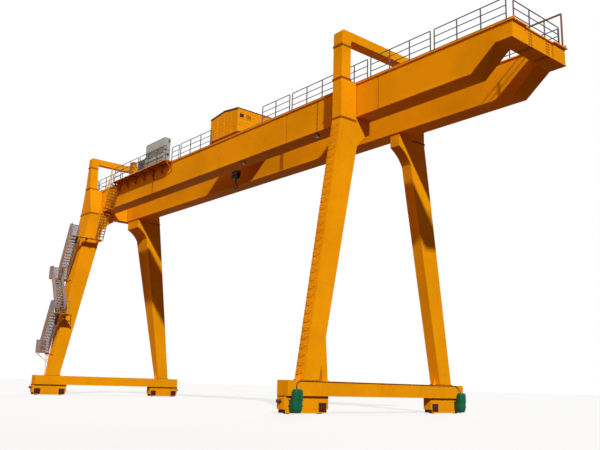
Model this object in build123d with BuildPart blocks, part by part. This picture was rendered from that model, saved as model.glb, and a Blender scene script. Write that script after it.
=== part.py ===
"""Double-girder gantry crane with an A-frame at each end, at half its real size."""

import math
import os

from build123d import *

# Main frame, in millimetres of the half-size model
span = 16340
cantilever = 5235
overhang = 1060
flange_overrun = 60
portal_height = 7935
girder_depth = 1000
girder_width = 575
girder_gap = 1150
flange_plate = 28
flange_lip = 36
kerb_height = 65
kerb_plate = 16
kerb_inset = 52
end_depth = 450
end_length = 450
taper_run = 690
end_beam_width = 420
splice_place = 362
splice_width = 180
splice_plate = 10

# Legs, saddles, columns and ties
frame_half_width = 1709
leg_top_drop = 122
leg_base_outer = 2788
leg_base_inner = 2300
leg_knee_height = 6850
leg_knee_inner = 1144
bracket_tip_inner = 610
bracket_tip_drop = 395
bracket_foot_drop = 865
bracket_sag = 50
right_leg_width = 350
left_leg_top_width = 1050
left_leg_base_width = 350
left_foot_shift = 130
left_saddle_top_width = 487
left_column_top_width = 250
saddle_rise = 33
column_depth = 335
column_height = 977
tie_height = 455
tie_depth = 260
tie_corner = 55
bolt_flange = 22
bolt_flange_lip = 18
foot_gusset_height = 190
foot_gusset_width = 110
foot_gusset_plate = 20

# Sills, bogies, wheels and drives
sill_bottom = 425
sill_depth = 363
sill_width = 410
sill_half_length = 3292
wheel_radius = 135
wheel_flange = 15
wheel_width = 90
wheel_tread = 60
wheel_facets = 24
wheel_inner = 2125
wheel_outer = 3150
axle_radius = 32
axle_clearance = 1
axle_end_gap = 2
bogie_width = 260
bogie_plate = 30
bogie_end = 190
bogie_skirt = 110
buffer_radius = 45
buffer_length = 110
buffer_height = 300
drive_shift = 70
gearbox_length = 260
gearbox_width = 280
gearbox_bottom = 40
gearbox_height = 300
gearbox_corner = 30
motor_radius = 88
motor_height = 250
motor_stand = 175
strut_height = 2035
strut_fork_height = 1325
strut_inner = 1960
strut_outer = 2135
strut_width = 250

# Trolley and its rails
rail_offset = 862
rail_height = 50
rail_width = 35
stop_height = 120
stop_length = 60
trolley_rest = -6600
trolley_length = 1740
trolley_beam = 130
trolley_beam_width = 120
trolley_beam_inset = 100
trolley_lift = 60
trolley_wheel_radius = 65
trolley_wheel_width = 50
trolley_wheel_inset = 250
trolley_axle_radius = 22
trolley_wheel_facets = 20
house_length = 1700
house_width = 2080
house_wall_height = 830
roof_rise = 105
roof_overhang = 22
roof_sheet = 16
window_depth = 12
window_width = 170
window_height = 140
window_sill = 520
window_offset = -880
louvre_offset = -590
hook_place = -610
hook_top = 8250
hook_bottom = 7500
hook_cheek = 300
hook_cheek_width = 190
hook_cheek_height = 340
hook_sheave_radius = 105
hook_sheave_width = 120
hook_rim = 12
hook_shank = 60
hook_radius = 115
hook_bowl = 60
rope_width = 14
rope_pitch = 60

# Walkways, handrails, ladder and stairs
rail_post = 22
hand_bar = 16
guard_height = 550
guard_pitch = 700
guard_bays = 3
guard_gap = 125
guard_inset = 40
guard_end_inset = 210
guard_bars = 3
guard_break = 540
access_start = 7280
access_end = 4230
platform_start = 2050
platform_length = 4430
platform_width = 335
platform_plate = 30
platform_bracket = 330
platform_bracket_bar = 34
platform_bracket_plate = 30
platform_brackets = 7
duct_place = 4980
duct_width = 60
duct_depth = 40
cabinet_length = 1500
cabinet_depth = 270
cabinet_height = 970
cabinet_end_gap = 240
cabinet_wall_gap = 10
cabinet_plinth = 50
cabinet_roof = 30
ladder_width = 230
ladder_bar = 20
ladder_pitch = 150
iron_width = 220
iron_reach = 85
iron_bar = 16
iron_pitch = 215
stair_width = 400
stair_centre = 250
stair_run = 780
stair_landing = 400
stair_clearance = 50
tread_rise = 115
tread_depth = 90
tread_plate = 12
stringer_depth = 200
stringer_rise = 70
stringer_plate = 12
landing_plate = 24
bearer_width = 30
bearer_depth = 60
low_levels = [1725, 3300, 4870]
cross_drop = 2315
hung_drop = 1045
cross_landing_length = 260
upper_width = 360
upper_run = 510
upper_landing = 200
panel_sheet = 8
panel_height = 500
rake_bar = 40
festoon_post = 28
festoon_bar = 30
festoon_height = 995
festoon_spacing = 2050
festoon_inset = 120
lamp_length = 130
lamp_width = 90
lamp_depth = 60
lamp_stem = 40
lamp_inset = 144
lamp_places = [-1585, -5300]
seat = 0.3

# Places that follow from the sizes above
total_length = overhang + span + cantilever
x_start = -total_length / 2
x_end = total_length / 2
web_start = x_start + flange_overrun
web_end = x_end - flange_overrun
x_left = x_start + overhang
x_right = x_left + span
girder_top = portal_height + girder_depth
girder_inner = girder_gap / 2
girder_outer = girder_inner + girder_width
leg_top = portal_height - leg_top_drop
sill_top = sill_bottom + sill_depth
saddle_top = girder_top + saddle_rise
column_top = saddle_top + column_height
tie_top = column_top + tie_height
axle_height = wheel_radius + wheel_flange
leg_lean = (leg_base_outer - frame_half_width) / (leg_top - sill_top)
sides = {"near": -1, "far": 1}
frames = {"right": x_right, "left": x_left}
feet = {"right": x_right, "left": x_left + left_foot_shift}

os.makedirs("parts", exist_ok=True)


def save(piece, name):
    """Label a finished piece and write it under its own name."""
    piece.part.label = name
    export_step(piece.part, f"parts/{name}.step")


def leg_outer(height):
    """Outer edge of a leg, measured from the centre plane, at a height."""
    return frame_half_width + (leg_top - height) * leg_lean


def leg_inner(height):
    """Inner edge of a leg below its bracket, measured from the centre plane, at a height."""
    slope = (leg_base_inner - leg_knee_inner) / (leg_knee_height - sill_top)
    return leg_base_inner - (height - sill_top) * slope


def left_leg_face(height):
    """Place along X of a left leg's inner face at a height."""
    share = (height - sill_top) / (leg_top - sill_top)
    low = feet["left"] + left_leg_base_width / 2
    high = x_left + left_leg_top_width / 2
    return low + share * (high - low)


def side_plane(x):
    """Plane across the crane at x, with its own x along Y and its own y upwards."""
    return Plane(origin=(x, 0, 0), x_dir=(0, 1, 0), z_dir=(1, 0, 0))


def long_plane(y):
    """Plane along the crane at y, with its own x along X and its own y upwards."""
    return Plane(origin=(0, y, 0), x_dir=(1, 0, 0), z_dir=(0, -1, 0))


# Main girders: welded boxes with wide flanges, a raked cantilever end and a kerb beside the handrail
for side, sign in sides.items():
    web_middle = sign * (girder_inner + girder_width / 2)
    web_width = girder_width - 2 * flange_lip
    rake_end = web_end - end_length
    rake_start = rake_end - taper_run
    end_bottom = girder_top - end_depth
    with BuildPart() as girder:
        with BuildSketch(long_plane(web_middle)) as web:
            with BuildLine() as web_outline:
                Polyline(
                    (web_start, portal_height + flange_plate),
                    (rake_start, portal_height + flange_plate),
                    (rake_end, end_bottom + flange_plate),
                    (web_end, end_bottom + flange_plate),
                    (web_end, girder_top - flange_plate),
                    (web_start, girder_top - flange_plate),
                    close=True,
                )
            make_face()
        extrude(amount=web_width / 2, both=True)
        with BuildSketch(long_plane(web_middle)) as flanges:
            with BuildLine() as bottom_flange:
                Polyline(
                    (web_start, portal_height),
                    (rake_start, portal_height),
                    (rake_end, end_bottom),
                    (web_end, end_bottom),
                    (web_end, end_bottom + flange_plate),
                    (rake_end, end_bottom + flange_plate),
                    (rake_start, portal_height + flange_plate),
                    (web_start, portal_height + flange_plate),
                    close=True,
                )
            make_face()
            with BuildLine() as top_flange:
                Polyline(
                    (x_start, girder_top - flange_plate),
                    (x_end, girder_top - flange_plate),
                    (x_end, girder_top),
                    (x_start, girder_top),
                    close=True,
                )
            make_face()
        extrude(amount=girder_width / 2, both=True)
        with BuildSketch(Plane.XY.offset(girder_top)) as kerb_plan:
            with Locations((0, sign * (girder_outer - kerb_inset - kerb_plate / 2))):
                Rectangle(total_length, kerb_plate)
        extrude(amount=kerb_height)
    save(girder, f"{side}_girder")

# End beams: boxes between the girder ends, with bolted splice plates on the outer face
for end, x_face, depth in (("right", web_end, end_depth), ("left", web_start, girder_depth)):
    outward = 1 if end == "right" else -1
    beam_middle = x_face - outward * end_beam_width / 2
    beam_bottom = girder_top - depth
    with BuildPart() as end_beam:
        with BuildSketch(Plane.XY.offset(beam_bottom)) as beam_plan:
            with Locations((beam_middle, 0)):
                Rectangle(end_beam_width - 2 * flange_lip, girder_gap)
        extrude(amount=depth)
        for flange_bottom in (beam_bottom, girder_top - flange_plate):
            with BuildSketch(Plane.XY.offset(flange_bottom)) as beam_flange:
                with Locations((beam_middle, 0)):
                    Rectangle(end_beam_width, girder_gap)
            extrude(amount=flange_plate)
        splice_height = depth - 2 * flange_plate
        with BuildSketch(side_plane(x_face - outward * flange_lip)) as splices:
            with GridLocations(2 * splice_place, 1, 2, 1):
                with Locations((0, girder_top - depth / 2)):
                    Rectangle(splice_width, splice_height)
        extrude(amount=outward * splice_plate)
    save(end_beam, f"{end}_end_beam")

# Legs: tapered boxes that lean outwards, with a curved bracket under the girder
for frame_name, x_frame in frames.items():
    top_width = right_leg_width if frame_name == "right" else left_leg_top_width
    base_width = right_leg_width if frame_name == "right" else left_leg_base_width
    x_foot = feet[frame_name]
    for side, sign in sides.items():
        bracket_foot = portal_height - bracket_foot_drop
        bracket_foot_inner = leg_inner(bracket_foot)
        bracket_tip = portal_height - bracket_tip_drop
        with BuildPart() as leg:
            with BuildSketch(side_plane(x_frame)) as leg_profile:
                with BuildLine() as leg_outline:
                    Polyline(
                        (sign * bracket_foot_inner, bracket_foot),
                        (sign * leg_base_inner, sill_top),
                        (sign * leg_base_outer, sill_top),
                        (sign * frame_half_width, leg_top),
                        (sign * girder_outer, leg_top),
                        (sign * girder_outer, portal_height),
                        (sign * bracket_tip_inner, portal_height),
                        (sign * bracket_tip_inner, bracket_tip),
                    )
                    SagittaArc(
                        (sign * bracket_tip_inner, bracket_tip),
                        (sign * bracket_foot_inner, bracket_foot),
                        sign * bracket_sag,
                    )
                make_face()
            extrude(amount=top_width / 2 + base_width, both=True)
            with BuildSketch(long_plane(0)) as taper_profile:
                with BuildLine() as taper_outline:
                    Polyline(
                        (x_foot - base_width / 2, sill_top),
                        (x_foot + base_width / 2, sill_top),
                        (x_frame + top_width / 2, leg_top),
                        (x_frame + top_width / 2, portal_height),
                        (x_frame - top_width / 2, portal_height),
                        (x_frame - top_width / 2, leg_top),
                        close=True,
                    )
                make_face()
            extrude(amount=leg_base_outer, both=True, mode=Mode.INTERSECT)
            foot_middle = sign * (leg_base_inner + leg_base_outer) / 2
            with BuildSketch(Plane.XY.offset(sill_top)) as foot_flange_plan:
                with Locations((x_foot, foot_middle)):
                    Rectangle(
                        base_width + 2 * bolt_flange_lip,
                        leg_base_outer - leg_base_inner + 2 * bolt_flange_lip,
                    )
            extrude(amount=bolt_flange)
            gusset_top = sill_top + foot_gusset_height
            with BuildSketch(side_plane(x_foot)) as gussets:
                with BuildLine() as gusset_outline:
                    Polyline(
                        (sign * (leg_base_inner - foot_gusset_width), sill_top),
                        (sign * (leg_base_outer + foot_gusset_width), sill_top),
                        (sign * leg_outer(gusset_top), gusset_top),
                        (sign * leg_inner(gusset_top), gusset_top),
                        close=True,
                    )
                make_face()
            extrude(amount=foot_gusset_plate / 2, both=True)
            flange_middle = sign * (frame_half_width + girder_outer + bolt_flange_lip) / 2
            with BuildSketch(Plane.XY.offset(leg_top - bolt_flange)) as top_flange_plan:
                with Locations((x_frame, flange_middle)):
                    Rectangle(
                        top_width + 2 * bolt_flange_lip,
                        frame_half_width - girder_outer + bolt_flange_lip,
                    )
            extrude(amount=bolt_flange)
        save(leg, f"{frame_name}_{side}_leg")

# Saddles: boxes on the leg heads that clasp the girder's outer web
for frame_name, x_frame in frames.items():
    low_width = right_leg_width if frame_name == "right" else left_leg_top_width
    high_width = right_leg_width if frame_name == "right" else left_saddle_top_width
    for side, sign in sides.items():
        column_inner = frame_half_width - column_depth
        with BuildPart() as saddle:
            with BuildSketch(side_plane(x_frame)) as saddle_profile:
                with BuildLine() as saddle_outline:
                    Polyline(
                        (sign * frame_half_width, leg_top),
                        (sign * frame_half_width, saddle_top),
                        (sign * column_inner, saddle_top),
                        (sign * girder_outer, girder_top - saddle_rise),
                        (sign * girder_outer, leg_top),
                        close=True,
                    )
                make_face()
            extrude(amount=max(low_width, high_width) / 2, both=True)
            with BuildSketch(long_plane(0)) as saddle_taper:
                with BuildLine() as saddle_taper_outline:
                    Polyline(
                        (x_frame - low_width / 2, leg_top),
                        (x_frame + low_width / 2, leg_top),
                        (x_frame + high_width / 2, saddle_top),
                        (x_frame - high_width / 2, saddle_top),
                        close=True,
                    )
                make_face()
            extrude(amount=frame_half_width, both=True, mode=Mode.INTERSECT)
            flange_middle = sign * (frame_half_width + girder_outer + bolt_flange_lip) / 2
            with BuildSketch(Plane.XY.offset(leg_top)) as low_flange_plan:
                with Locations((x_frame, flange_middle)):
                    Rectangle(
                        low_width + 2 * bolt_flange_lip,
                        frame_half_width - girder_outer + bolt_flange_lip,
                    )
            extrude(amount=bolt_flange)
            column_middle = sign * (frame_half_width - column_depth / 2)
            with BuildSketch(Plane.XY.offset(saddle_top - bolt_flange)) as high_flange_plan:
                with Locations((x_frame, column_middle)):
                    Rectangle(high_width + 2 * bolt_flange_lip, column_depth + 2 * bolt_flange_lip)
            extrude(amount=bolt_flange)
        save(saddle, f"{frame_name}_{side}_saddle")

# Columns: short posts bolted on the saddles, the left pair tapering to the top
for frame_name, x_frame in frames.items():
    low_width = right_leg_width if frame_name == "right" else left_saddle_top_width
    high_width = right_leg_width if frame_name == "right" else left_column_top_width
    for side, sign in sides.items():
        column_middle = sign * (frame_half_width - column_depth / 2)
        with BuildPart() as column:
            with BuildSketch(long_plane(column_middle)) as column_profile:
                with BuildLine() as column_outline:
                    Polyline(
                        (x_frame - low_width / 2, saddle_top),
                        (x_frame + low_width / 2, saddle_top),
                        (x_frame + high_width / 2, column_top),
                        (x_frame - high_width / 2, column_top),
                        close=True,
                    )
                make_face()
            extrude(amount=column_depth / 2, both=True)
            for level, width in ((saddle_top, low_width), (column_top - bolt_flange, high_width)):
                with BuildSketch(Plane.XY.offset(level)) as column_flange:
                    with Locations((x_frame, column_middle)):
                        Rectangle(width + 2 * bolt_flange_lip, column_depth + 2 * bolt_flange_lip)
                extrude(amount=bolt_flange)
        save(column, f"{frame_name}_{side}_column")

# Top ties: inverted U beams that join the columns over the trolley's way
for frame_name, x_frame in frames.items():
    tie_width = right_leg_width if frame_name == "right" else left_column_top_width
    with BuildPart() as tie:
        with BuildSketch(side_plane(x_frame)) as tie_profile:
            with Locations((0, (column_top + tie_top) / 2)):
                Rectangle(2 * frame_half_width, tie_height)
            with Locations((0, (column_top + tie_top - tie_depth) / 2)):
                Rectangle(
                    2 * (frame_half_width - column_depth),
                    tie_height - tie_depth,
                    mode=Mode.SUBTRACT,
                )
            chamfer(tie_profile.vertices().group_by(Axis.Z)[-1], tie_corner)
        extrude(amount=tie_width / 2, both=True)
        for sign in sides.values():
            with BuildSketch(Plane.XY.offset(column_top)) as head_flange:
                with Locations((x_frame, sign * (frame_half_width - column_depth / 2))):
                    Rectangle(tie_width + 2 * bolt_flange_lip, column_depth + 2 * bolt_flange_lip)
            extrude(amount=bolt_flange)
    save(tie, f"{frame_name}_top_tie")

# Sill beams: boxes that tie the leg feet together
for frame_name, x_foot in feet.items():
    with BuildPart() as sill:
        with BuildSketch(side_plane(x_foot)) as sill_profile:
            with Locations((0, sill_bottom + sill_depth / 2)):
                Rectangle(2 * sill_half_length, sill_depth)
        extrude(amount=sill_width / 2, both=True)
    save(sill, f"{frame_name}_sill_beam")

# Bogies: channels under the sill ends that hold two wheels each
for frame_name, x_foot in feet.items():
    for side, sign in sides.items():
        bogie_inner = wheel_inner - bogie_end
        bogie_outer = wheel_outer + bogie_end
        with BuildPart() as bogie:
            with BuildSketch(Plane.XY.offset(bogie_skirt)) as bogie_plan:
                with Locations((x_foot, sign * (bogie_inner + bogie_outer) / 2)):
                    Rectangle(bogie_width, bogie_outer - bogie_inner)
            extrude(amount=sill_bottom - bogie_skirt)
            with BuildSketch(Plane.XY.offset(bogie_skirt)) as bogie_hollow:
                with Locations((x_foot, sign * (bogie_inner + bogie_outer) / 2)):
                    Rectangle(
                        bogie_width - 2 * bogie_plate,
                        bogie_outer - bogie_inner - 2 * bogie_plate,
                    )
            extrude(amount=sill_bottom - bogie_plate - bogie_skirt, mode=Mode.SUBTRACT)
            with BuildSketch(side_plane(x_foot)) as axle_holes:
                with Locations((sign * wheel_inner, axle_height), (sign * wheel_outer, axle_height)):
                    Circle(axle_radius + axle_clearance)
            extrude(amount=bogie_width, both=True, mode=Mode.SUBTRACT)
        save(bogie, f"{frame_name}_{side}_bogie")

# Travel wheels: two flanges beside a tread, each wheel on its own round axle
axle_half = bogie_width / 2 - axle_end_gap
for frame_name, x_foot in feet.items():
    for side, sign in sides.items():
        for place, wheel_y in (("inner", wheel_inner), ("outer", wheel_outer)):
            wheel_plane = Plane((x_foot, sign * wheel_y, axle_height), x_dir=(0, 0, -1), z_dir=(1, 0, 0))
            with BuildPart() as wheel:
                with BuildSketch(wheel_plane) as axle_round:
                    Circle(axle_radius)
                extrude(amount=axle_half, both=True)
                with BuildSketch(wheel_plane) as tread_round:
                    RegularPolygon(wheel_radius, wheel_facets)
                extrude(amount=wheel_width / 2, both=True)
                for flange_sign in (-1, 1):
                    with BuildSketch(wheel_plane.offset(flange_sign * wheel_tread / 2)) as flange_round:
                        RegularPolygon(axle_height, wheel_facets)
                    extrude(amount=flange_sign * (wheel_width - wheel_tread) / 2)
            save(wheel, f"{frame_name}_{side}_{place}_wheel")

# Leg strut: a short fork at the foot of the right near leg
with BuildPart() as strut:
    with BuildSketch(side_plane(x_right)) as strut_profile:
        with BuildLine() as strut_outline:
            Polyline(
                (-strut_inner, sill_top),
                (-strut_outer, sill_top),
                (-leg_inner(strut_fork_height), strut_fork_height),
                (-leg_inner(strut_height), strut_height),
                close=True,
            )
        make_face()
    extrude(amount=strut_width / 2, both=True)
    with BuildSketch(Plane.XY.offset(sill_top)) as strut_foot:
        with Locations((x_right, -(strut_inner + strut_outer) / 2)):
            Rectangle(strut_width + 2 * bolt_flange_lip, strut_outer - strut_inner + 2 * bolt_flange_lip)
    extrude(amount=bolt_flange)
save(strut, "right_near_leg_strut")

# Travel drives: a gearbox with a standing motor on the outer side of each bogie
with BuildPart() as drives:
    for frame_name, x_foot in feet.items():
        outward = 1 if frame_name == "right" else -1
        gearbox_middle = x_foot + outward * (bogie_width + gearbox_length) / 2
        motor_middle = x_foot + outward * (bogie_width / 2 + motor_stand)
        for sign in sides.values():
            drive_y = sign * (wheel_outer - drive_shift)
            with BuildSketch(Plane.XY.offset(gearbox_bottom)) as gearbox_plan:
                with Locations((gearbox_middle, drive_y)):
                    Rectangle(gearbox_length, gearbox_width)
                chamfer(gearbox_plan.vertices(), gearbox_corner)
            extrude(amount=gearbox_height)
            with BuildSketch(Plane.XY.offset(gearbox_bottom + gearbox_height)) as motor_plan:
                with Locations((motor_middle, drive_y)):
                    Circle(motor_radius)
            extrude(amount=motor_height)
save(drives, "travel_drives")

# Buffers: round stops on the outer end of each bogie
with BuildPart() as buffers:
    for x_foot in feet.values():
        for sign in sides.values():
            buffer_face = sign * (wheel_outer + bogie_end)
            buffer_plane = Plane((x_foot, buffer_face, buffer_height), x_dir=(1, 0, 0), z_dir=(0, sign, 0))
            with BuildSketch(buffer_plane) as buffer_round:
                Circle(buffer_radius)
            extrude(amount=buffer_length)
save(buffers, "buffers")

# Trolley rails: a flat-footed bar along each girder with a stop at both ends
with BuildPart() as rails:
    rail_start = x_start + end_length
    rail_end = x_end - end_length
    for sign in sides.values():
        with BuildSketch(long_plane(sign * rail_offset)) as rail_side:
            with BuildLine() as rail_outline:
                Polyline(
                    (rail_start, girder_top),
                    (rail_end, girder_top),
                    (rail_end, girder_top + stop_height),
                    (rail_end - stop_length, girder_top + stop_height),
                    (rail_end - stop_length, girder_top + rail_height),
                    (rail_start + stop_length, girder_top + rail_height),
                    (rail_start + stop_length, girder_top + stop_height),
                    (rail_start, girder_top + stop_height),
                    close=True,
                )
            make_face()
        extrude(amount=rail_width / 2, both=True)
save(rails, "trolley_rails")

# Trolley frame: two end trucks joined by cross beams
trolley_x = x_right + trolley_rest
trolley_bottom = girder_top + trolley_lift
trolley_deck = trolley_bottom + trolley_beam
truck_offset = rail_offset - trolley_beam_inset
with BuildPart() as trolley_frame:
    with BuildSketch(Plane.XY.offset(trolley_bottom)) as frame_plan:
        for sign in sides.values():
            with Locations((trolley_x, sign * truck_offset)):
                Rectangle(trolley_length, trolley_beam_width)
        for end_sign in (-1, 1):
            with Locations((trolley_x + end_sign * (trolley_length - trolley_beam_width) / 2, 0)):
                Rectangle(trolley_beam_width, house_width)
    extrude(amount=trolley_beam)
save(trolley_frame, "trolley_frame")

# Trolley wheels: four rollers on stub axles beside the end trucks
with BuildPart() as trolley_wheels:
    wheel_height = girder_top + rail_height + trolley_wheel_radius + seat
    truck_face = truck_offset + trolley_beam_width / 2
    for sign in sides.values():
        for end_sign in (-1, 1):
            roller_x = trolley_x + end_sign * (trolley_length / 2 - trolley_wheel_inset)
            stub = Plane((roller_x, sign * truck_face, wheel_height), x_dir=(1, 0, 0), z_dir=(0, sign, 0))
            with BuildSketch(stub) as stub_axle:
                RegularPolygon(trolley_axle_radius, trolley_wheel_facets)
            extrude(amount=rail_offset - truck_face)
            with BuildSketch(stub.offset(rail_offset - truck_face - trolley_wheel_width / 2)) as roller:
                RegularPolygon(trolley_wheel_radius, trolley_wheel_facets)
            extrude(amount=trolley_wheel_width)
save(trolley_wheels, "trolley_wheels")

# Trolley house: a sheet-metal cover with a gable towards each side
eaves = trolley_deck + house_wall_height
with BuildPart() as house:
    with BuildSketch(long_plane(0)) as gable:
        with BuildLine() as gable_outline:
            Polyline(
                (trolley_x - house_length / 2, trolley_deck),
                (trolley_x + house_length / 2, trolley_deck),
                (trolley_x + house_length / 2, eaves),
                (trolley_x, eaves + roof_rise),
                (trolley_x - house_length / 2, eaves),
                close=True,
            )
        make_face()
    extrude(amount=house_width / 2, both=True)
    for face_sign in (-1, 1):
        window_plane = Plane(
            (trolley_x + face_sign * house_length / 2, 0, trolley_deck + window_sill + window_height / 2),
            x_dir=(0, 1, 0),
            z_dir=(face_sign, 0, 0),
        )
        with BuildSketch(window_plane) as windows:
            with Locations((window_offset, 0), (louvre_offset, 0)):
                Rectangle(window_width, window_height)
        extrude(amount=-window_depth, mode=Mode.SUBTRACT)
save(house, "trolley_house")

# Trolley roof: two sloping sheets that meet at a ridge across the crane
with BuildPart() as roof:
    slope = roof_rise / (house_length / 2)
    reach = house_length / 2 + roof_overhang
    with BuildSketch(long_plane(0)) as roof_profile:
        with BuildLine() as roof_outline:
            Polyline(
                (trolley_x - reach, eaves - roof_overhang * slope),
                (trolley_x, eaves + roof_rise),
                (trolley_x + reach, eaves - roof_overhang * slope),
                (trolley_x + reach, eaves - roof_overhang * slope + roof_sheet),
                (trolley_x, eaves + roof_rise + roof_sheet),
                (trolley_x - reach, eaves - roof_overhang * slope + roof_sheet),
                close=True,
            )
        make_face()
    extrude(amount=house_width / 2 + roof_overhang, both=True)
save(roof, "trolley_roof")


# Hook block: two sheaves between cheek plates, with a forged hook under them
hook_x = trolley_x + hook_place
cheek_bottom = hook_top - hook_cheek_height
hook_centre = hook_bottom + hook_radius
sheave_drop = hook_sheave_radius + hook_rim
with BuildPart() as hook_block:
    with BuildSketch(long_plane(0)) as cheeks:
        with Locations((hook_x, hook_top - hook_cheek_height / 2)):
            Rectangle(hook_cheek, hook_cheek_height)
        chamfer(cheeks.vertices().group_by(Axis.Z)[0], hook_cheek / 4)
    extrude(amount=hook_cheek_width / 2, both=True)
    with BuildSketch(long_plane(0)) as sheave_slot:
        with Locations((hook_x, hook_top)):
            Rectangle(hook_cheek, 4 * sheave_drop)
    extrude(amount=hook_sheave_width / 2, both=True, mode=Mode.SUBTRACT)
    with BuildSketch(long_plane(0)) as sheaves:
        with Locations((hook_x, hook_top - sheave_drop)):
            RegularPolygon(hook_sheave_radius, wheel_facets)
    extrude(amount=hook_cheek_width / 2, both=True)
    with BuildSketch(long_plane(0)) as hook:
        with Locations((hook_x, (cheek_bottom + hook_centre + hook_bowl) / 2)):
            Rectangle(hook_shank, cheek_bottom - hook_centre - hook_bowl + hook_shank)
        with Locations((hook_x, hook_centre)):
            RegularPolygon(hook_radius, wheel_facets)
            RegularPolygon(hook_bowl, wheel_facets, mode=Mode.SUBTRACT)
        with Locations((hook_x - hook_radius - hook_shank / 2, hook_centre + hook_bowl)):
            Rectangle(2 * hook_radius, hook_bowl, mode=Mode.SUBTRACT)
    extrude(amount=hook_shank / 2, both=True)
save(hook_block, "hook_block")

# Hoist ropes: four taut falls from the trolley down to the sheaves
with BuildPart() as hoist_ropes:
    with BuildSketch(Plane.XY.offset(hook_top - sheave_drop)) as falls:
        with Locations((hook_x, 0)):
            with GridLocations(2 * hook_sheave_radius + rope_width, rope_pitch, 2, 2):
                Rectangle(rope_width, rope_width)
    extrude(amount=trolley_deck - hook_top + sheave_drop)
save(hoist_ropes, "hoist_ropes")


def guard(plane, start, end, foot):
    """Handrail panels in one plane, laid from end back to start, each a frame of posts and bars."""
    panel_length = guard_bays * guard_pitch
    panel_step = panel_length + guard_gap
    panels = max(1, math.ceil((end - start - guard_pitch / 2) / panel_step))
    with BuildSketch(plane) as frames_plan:
        for index in range(panels):
            panel_end = end - index * panel_step
            panel_start = max(start, panel_end - panel_length)
            bays = max(1, round((panel_end - panel_start) / guard_pitch))
            pitch = (panel_end - panel_start) / bays
            for post in range(bays + 1):
                with Locations((panel_start + post * pitch, foot + guard_height / 2)):
                    Rectangle(rail_post, guard_height)
            for bar in range(1, guard_bars + 1):
                bar_height = guard_height * bar / guard_bars - hand_bar / 2
                with Locations(((panel_start + panel_end) / 2, foot + bar_height)):
                    Rectangle(panel_end - panel_start, hand_bar)
    extrude(frames_plan.sketch, amount=hand_bar / 2, both=True)


# Handrails: panels of posts and three bars along both girders, open where the trolley house is entered
platform_x = x_left + platform_start
platform_end = platform_x + platform_length
guard_line = girder_outer - guard_inset
guard_first = x_start + guard_end_inset
guard_last = x_end - guard_end_inset
break_x = x_right - guard_break
with BuildPart() as near_handrail:
    guard(long_plane(-guard_line), guard_first, platform_x - guard_gap, girder_top)
    guard(long_plane(-guard_line), platform_end + guard_gap, x_right - access_start, girder_top)
    guard(long_plane(-guard_line), x_right - access_end, break_x - guard_gap / 2, girder_top)
    guard(long_plane(-guard_line), break_x + guard_gap / 2, guard_last, girder_top)
save(near_handrail, "near_handrail")
with BuildPart() as far_handrail:
    guard(long_plane(guard_line), guard_first, break_x - guard_gap / 2, girder_top)
    guard(long_plane(guard_line), break_x + guard_gap / 2, guard_last, girder_top)
save(far_handrail, "far_handrail")
with BuildPart() as end_handrails:
    for x_rail in (x_start + guard_inset, x_end - guard_inset):
        guard(side_plane(x_rail), guard_gap / 2 - guard_line, guard_line - guard_gap / 2, girder_top)
save(end_handrails, "end_handrails")

# Cabinet platform: a plate on strutted brackets outside the near girder, with a cable duct below it
web_face = girder_outer - flange_lip
with BuildPart() as platform:
    with BuildSketch(Plane.XY.offset(girder_top - platform_plate)) as platform_plan:
        with Locations((platform_x + platform_length / 2, -girder_outer - platform_width / 2)):
            Rectangle(platform_length, platform_width)
    extrude(amount=platform_plate)
    for index in range(platform_brackets):
        bracket_x = platform_x + platform_bracket_plate
        bracket_x += index * (platform_length - 2 * platform_bracket_plate) / (platform_brackets - 1)
        with BuildSketch(side_plane(bracket_x)) as bracket:
            with BuildLine() as bracket_outline:
                Polyline(
                    (-girder_outer, girder_top - platform_plate - platform_bracket),
                    (-girder_outer, girder_top - platform_plate),
                    (-girder_outer - platform_width, girder_top - platform_plate),
                    close=True,
                )
            make_face()
            offset(amount=-platform_bracket_bar, kind=Kind.INTERSECTION, mode=Mode.SUBTRACT)
        extrude(amount=platform_bracket_plate / 2, both=True)
    with BuildSketch(Plane.XY.offset(portal_height + flange_plate)) as duct_plan:
        with Locations((x_left + duct_place, -web_face - duct_depth / 2)):
            Rectangle(duct_width, duct_depth)
    extrude(amount=girder_depth - flange_plate - platform_plate)
save(platform, "cabinet_platform")

# Control cabinets: a plinth, a plain case and a roof that stands a little proud
cabinet_x = platform_end - cabinet_end_gap - cabinet_length / 2
cabinet_y = -girder_outer - cabinet_wall_gap - cabinet_depth / 2
with BuildPart() as cabinets:
    with BuildSketch(Plane.XY.offset(girder_top)) as plinth_plan:
        with Locations((cabinet_x, cabinet_y)):
            Rectangle(cabinet_length - cabinet_roof, cabinet_depth - cabinet_roof)
    extrude(amount=cabinet_plinth)
    with BuildSketch(Plane.XY.offset(girder_top + cabinet_plinth)) as case_plan:
        with Locations((cabinet_x, cabinet_y)):
            Rectangle(cabinet_length - cabinet_wall_gap, cabinet_depth - cabinet_wall_gap)
    extrude(amount=cabinet_height - cabinet_plinth - cabinet_roof)
    with BuildSketch(Plane.XY.offset(girder_top + cabinet_height - cabinet_roof)) as cap_plan:
        with Locations((cabinet_x, cabinet_y)):
            Rectangle(cabinet_length, cabinet_depth)
    extrude(amount=cabinet_roof)
save(cabinets, "control_cabinets")

# Platform handrail: along the outer edge and round the far end of the cabinet platform
platform_rail_y = girder_outer + platform_width - rail_post
with BuildPart() as platform_handrail:
    guard(long_plane(-platform_rail_y), platform_x + rail_post, platform_end - rail_post, girder_top)
    guard(side_plane(platform_end - rail_post), guard_gap / 2 - platform_rail_y, -girder_outer, girder_top)
save(platform_handrail, "platform_handrail")


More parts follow.
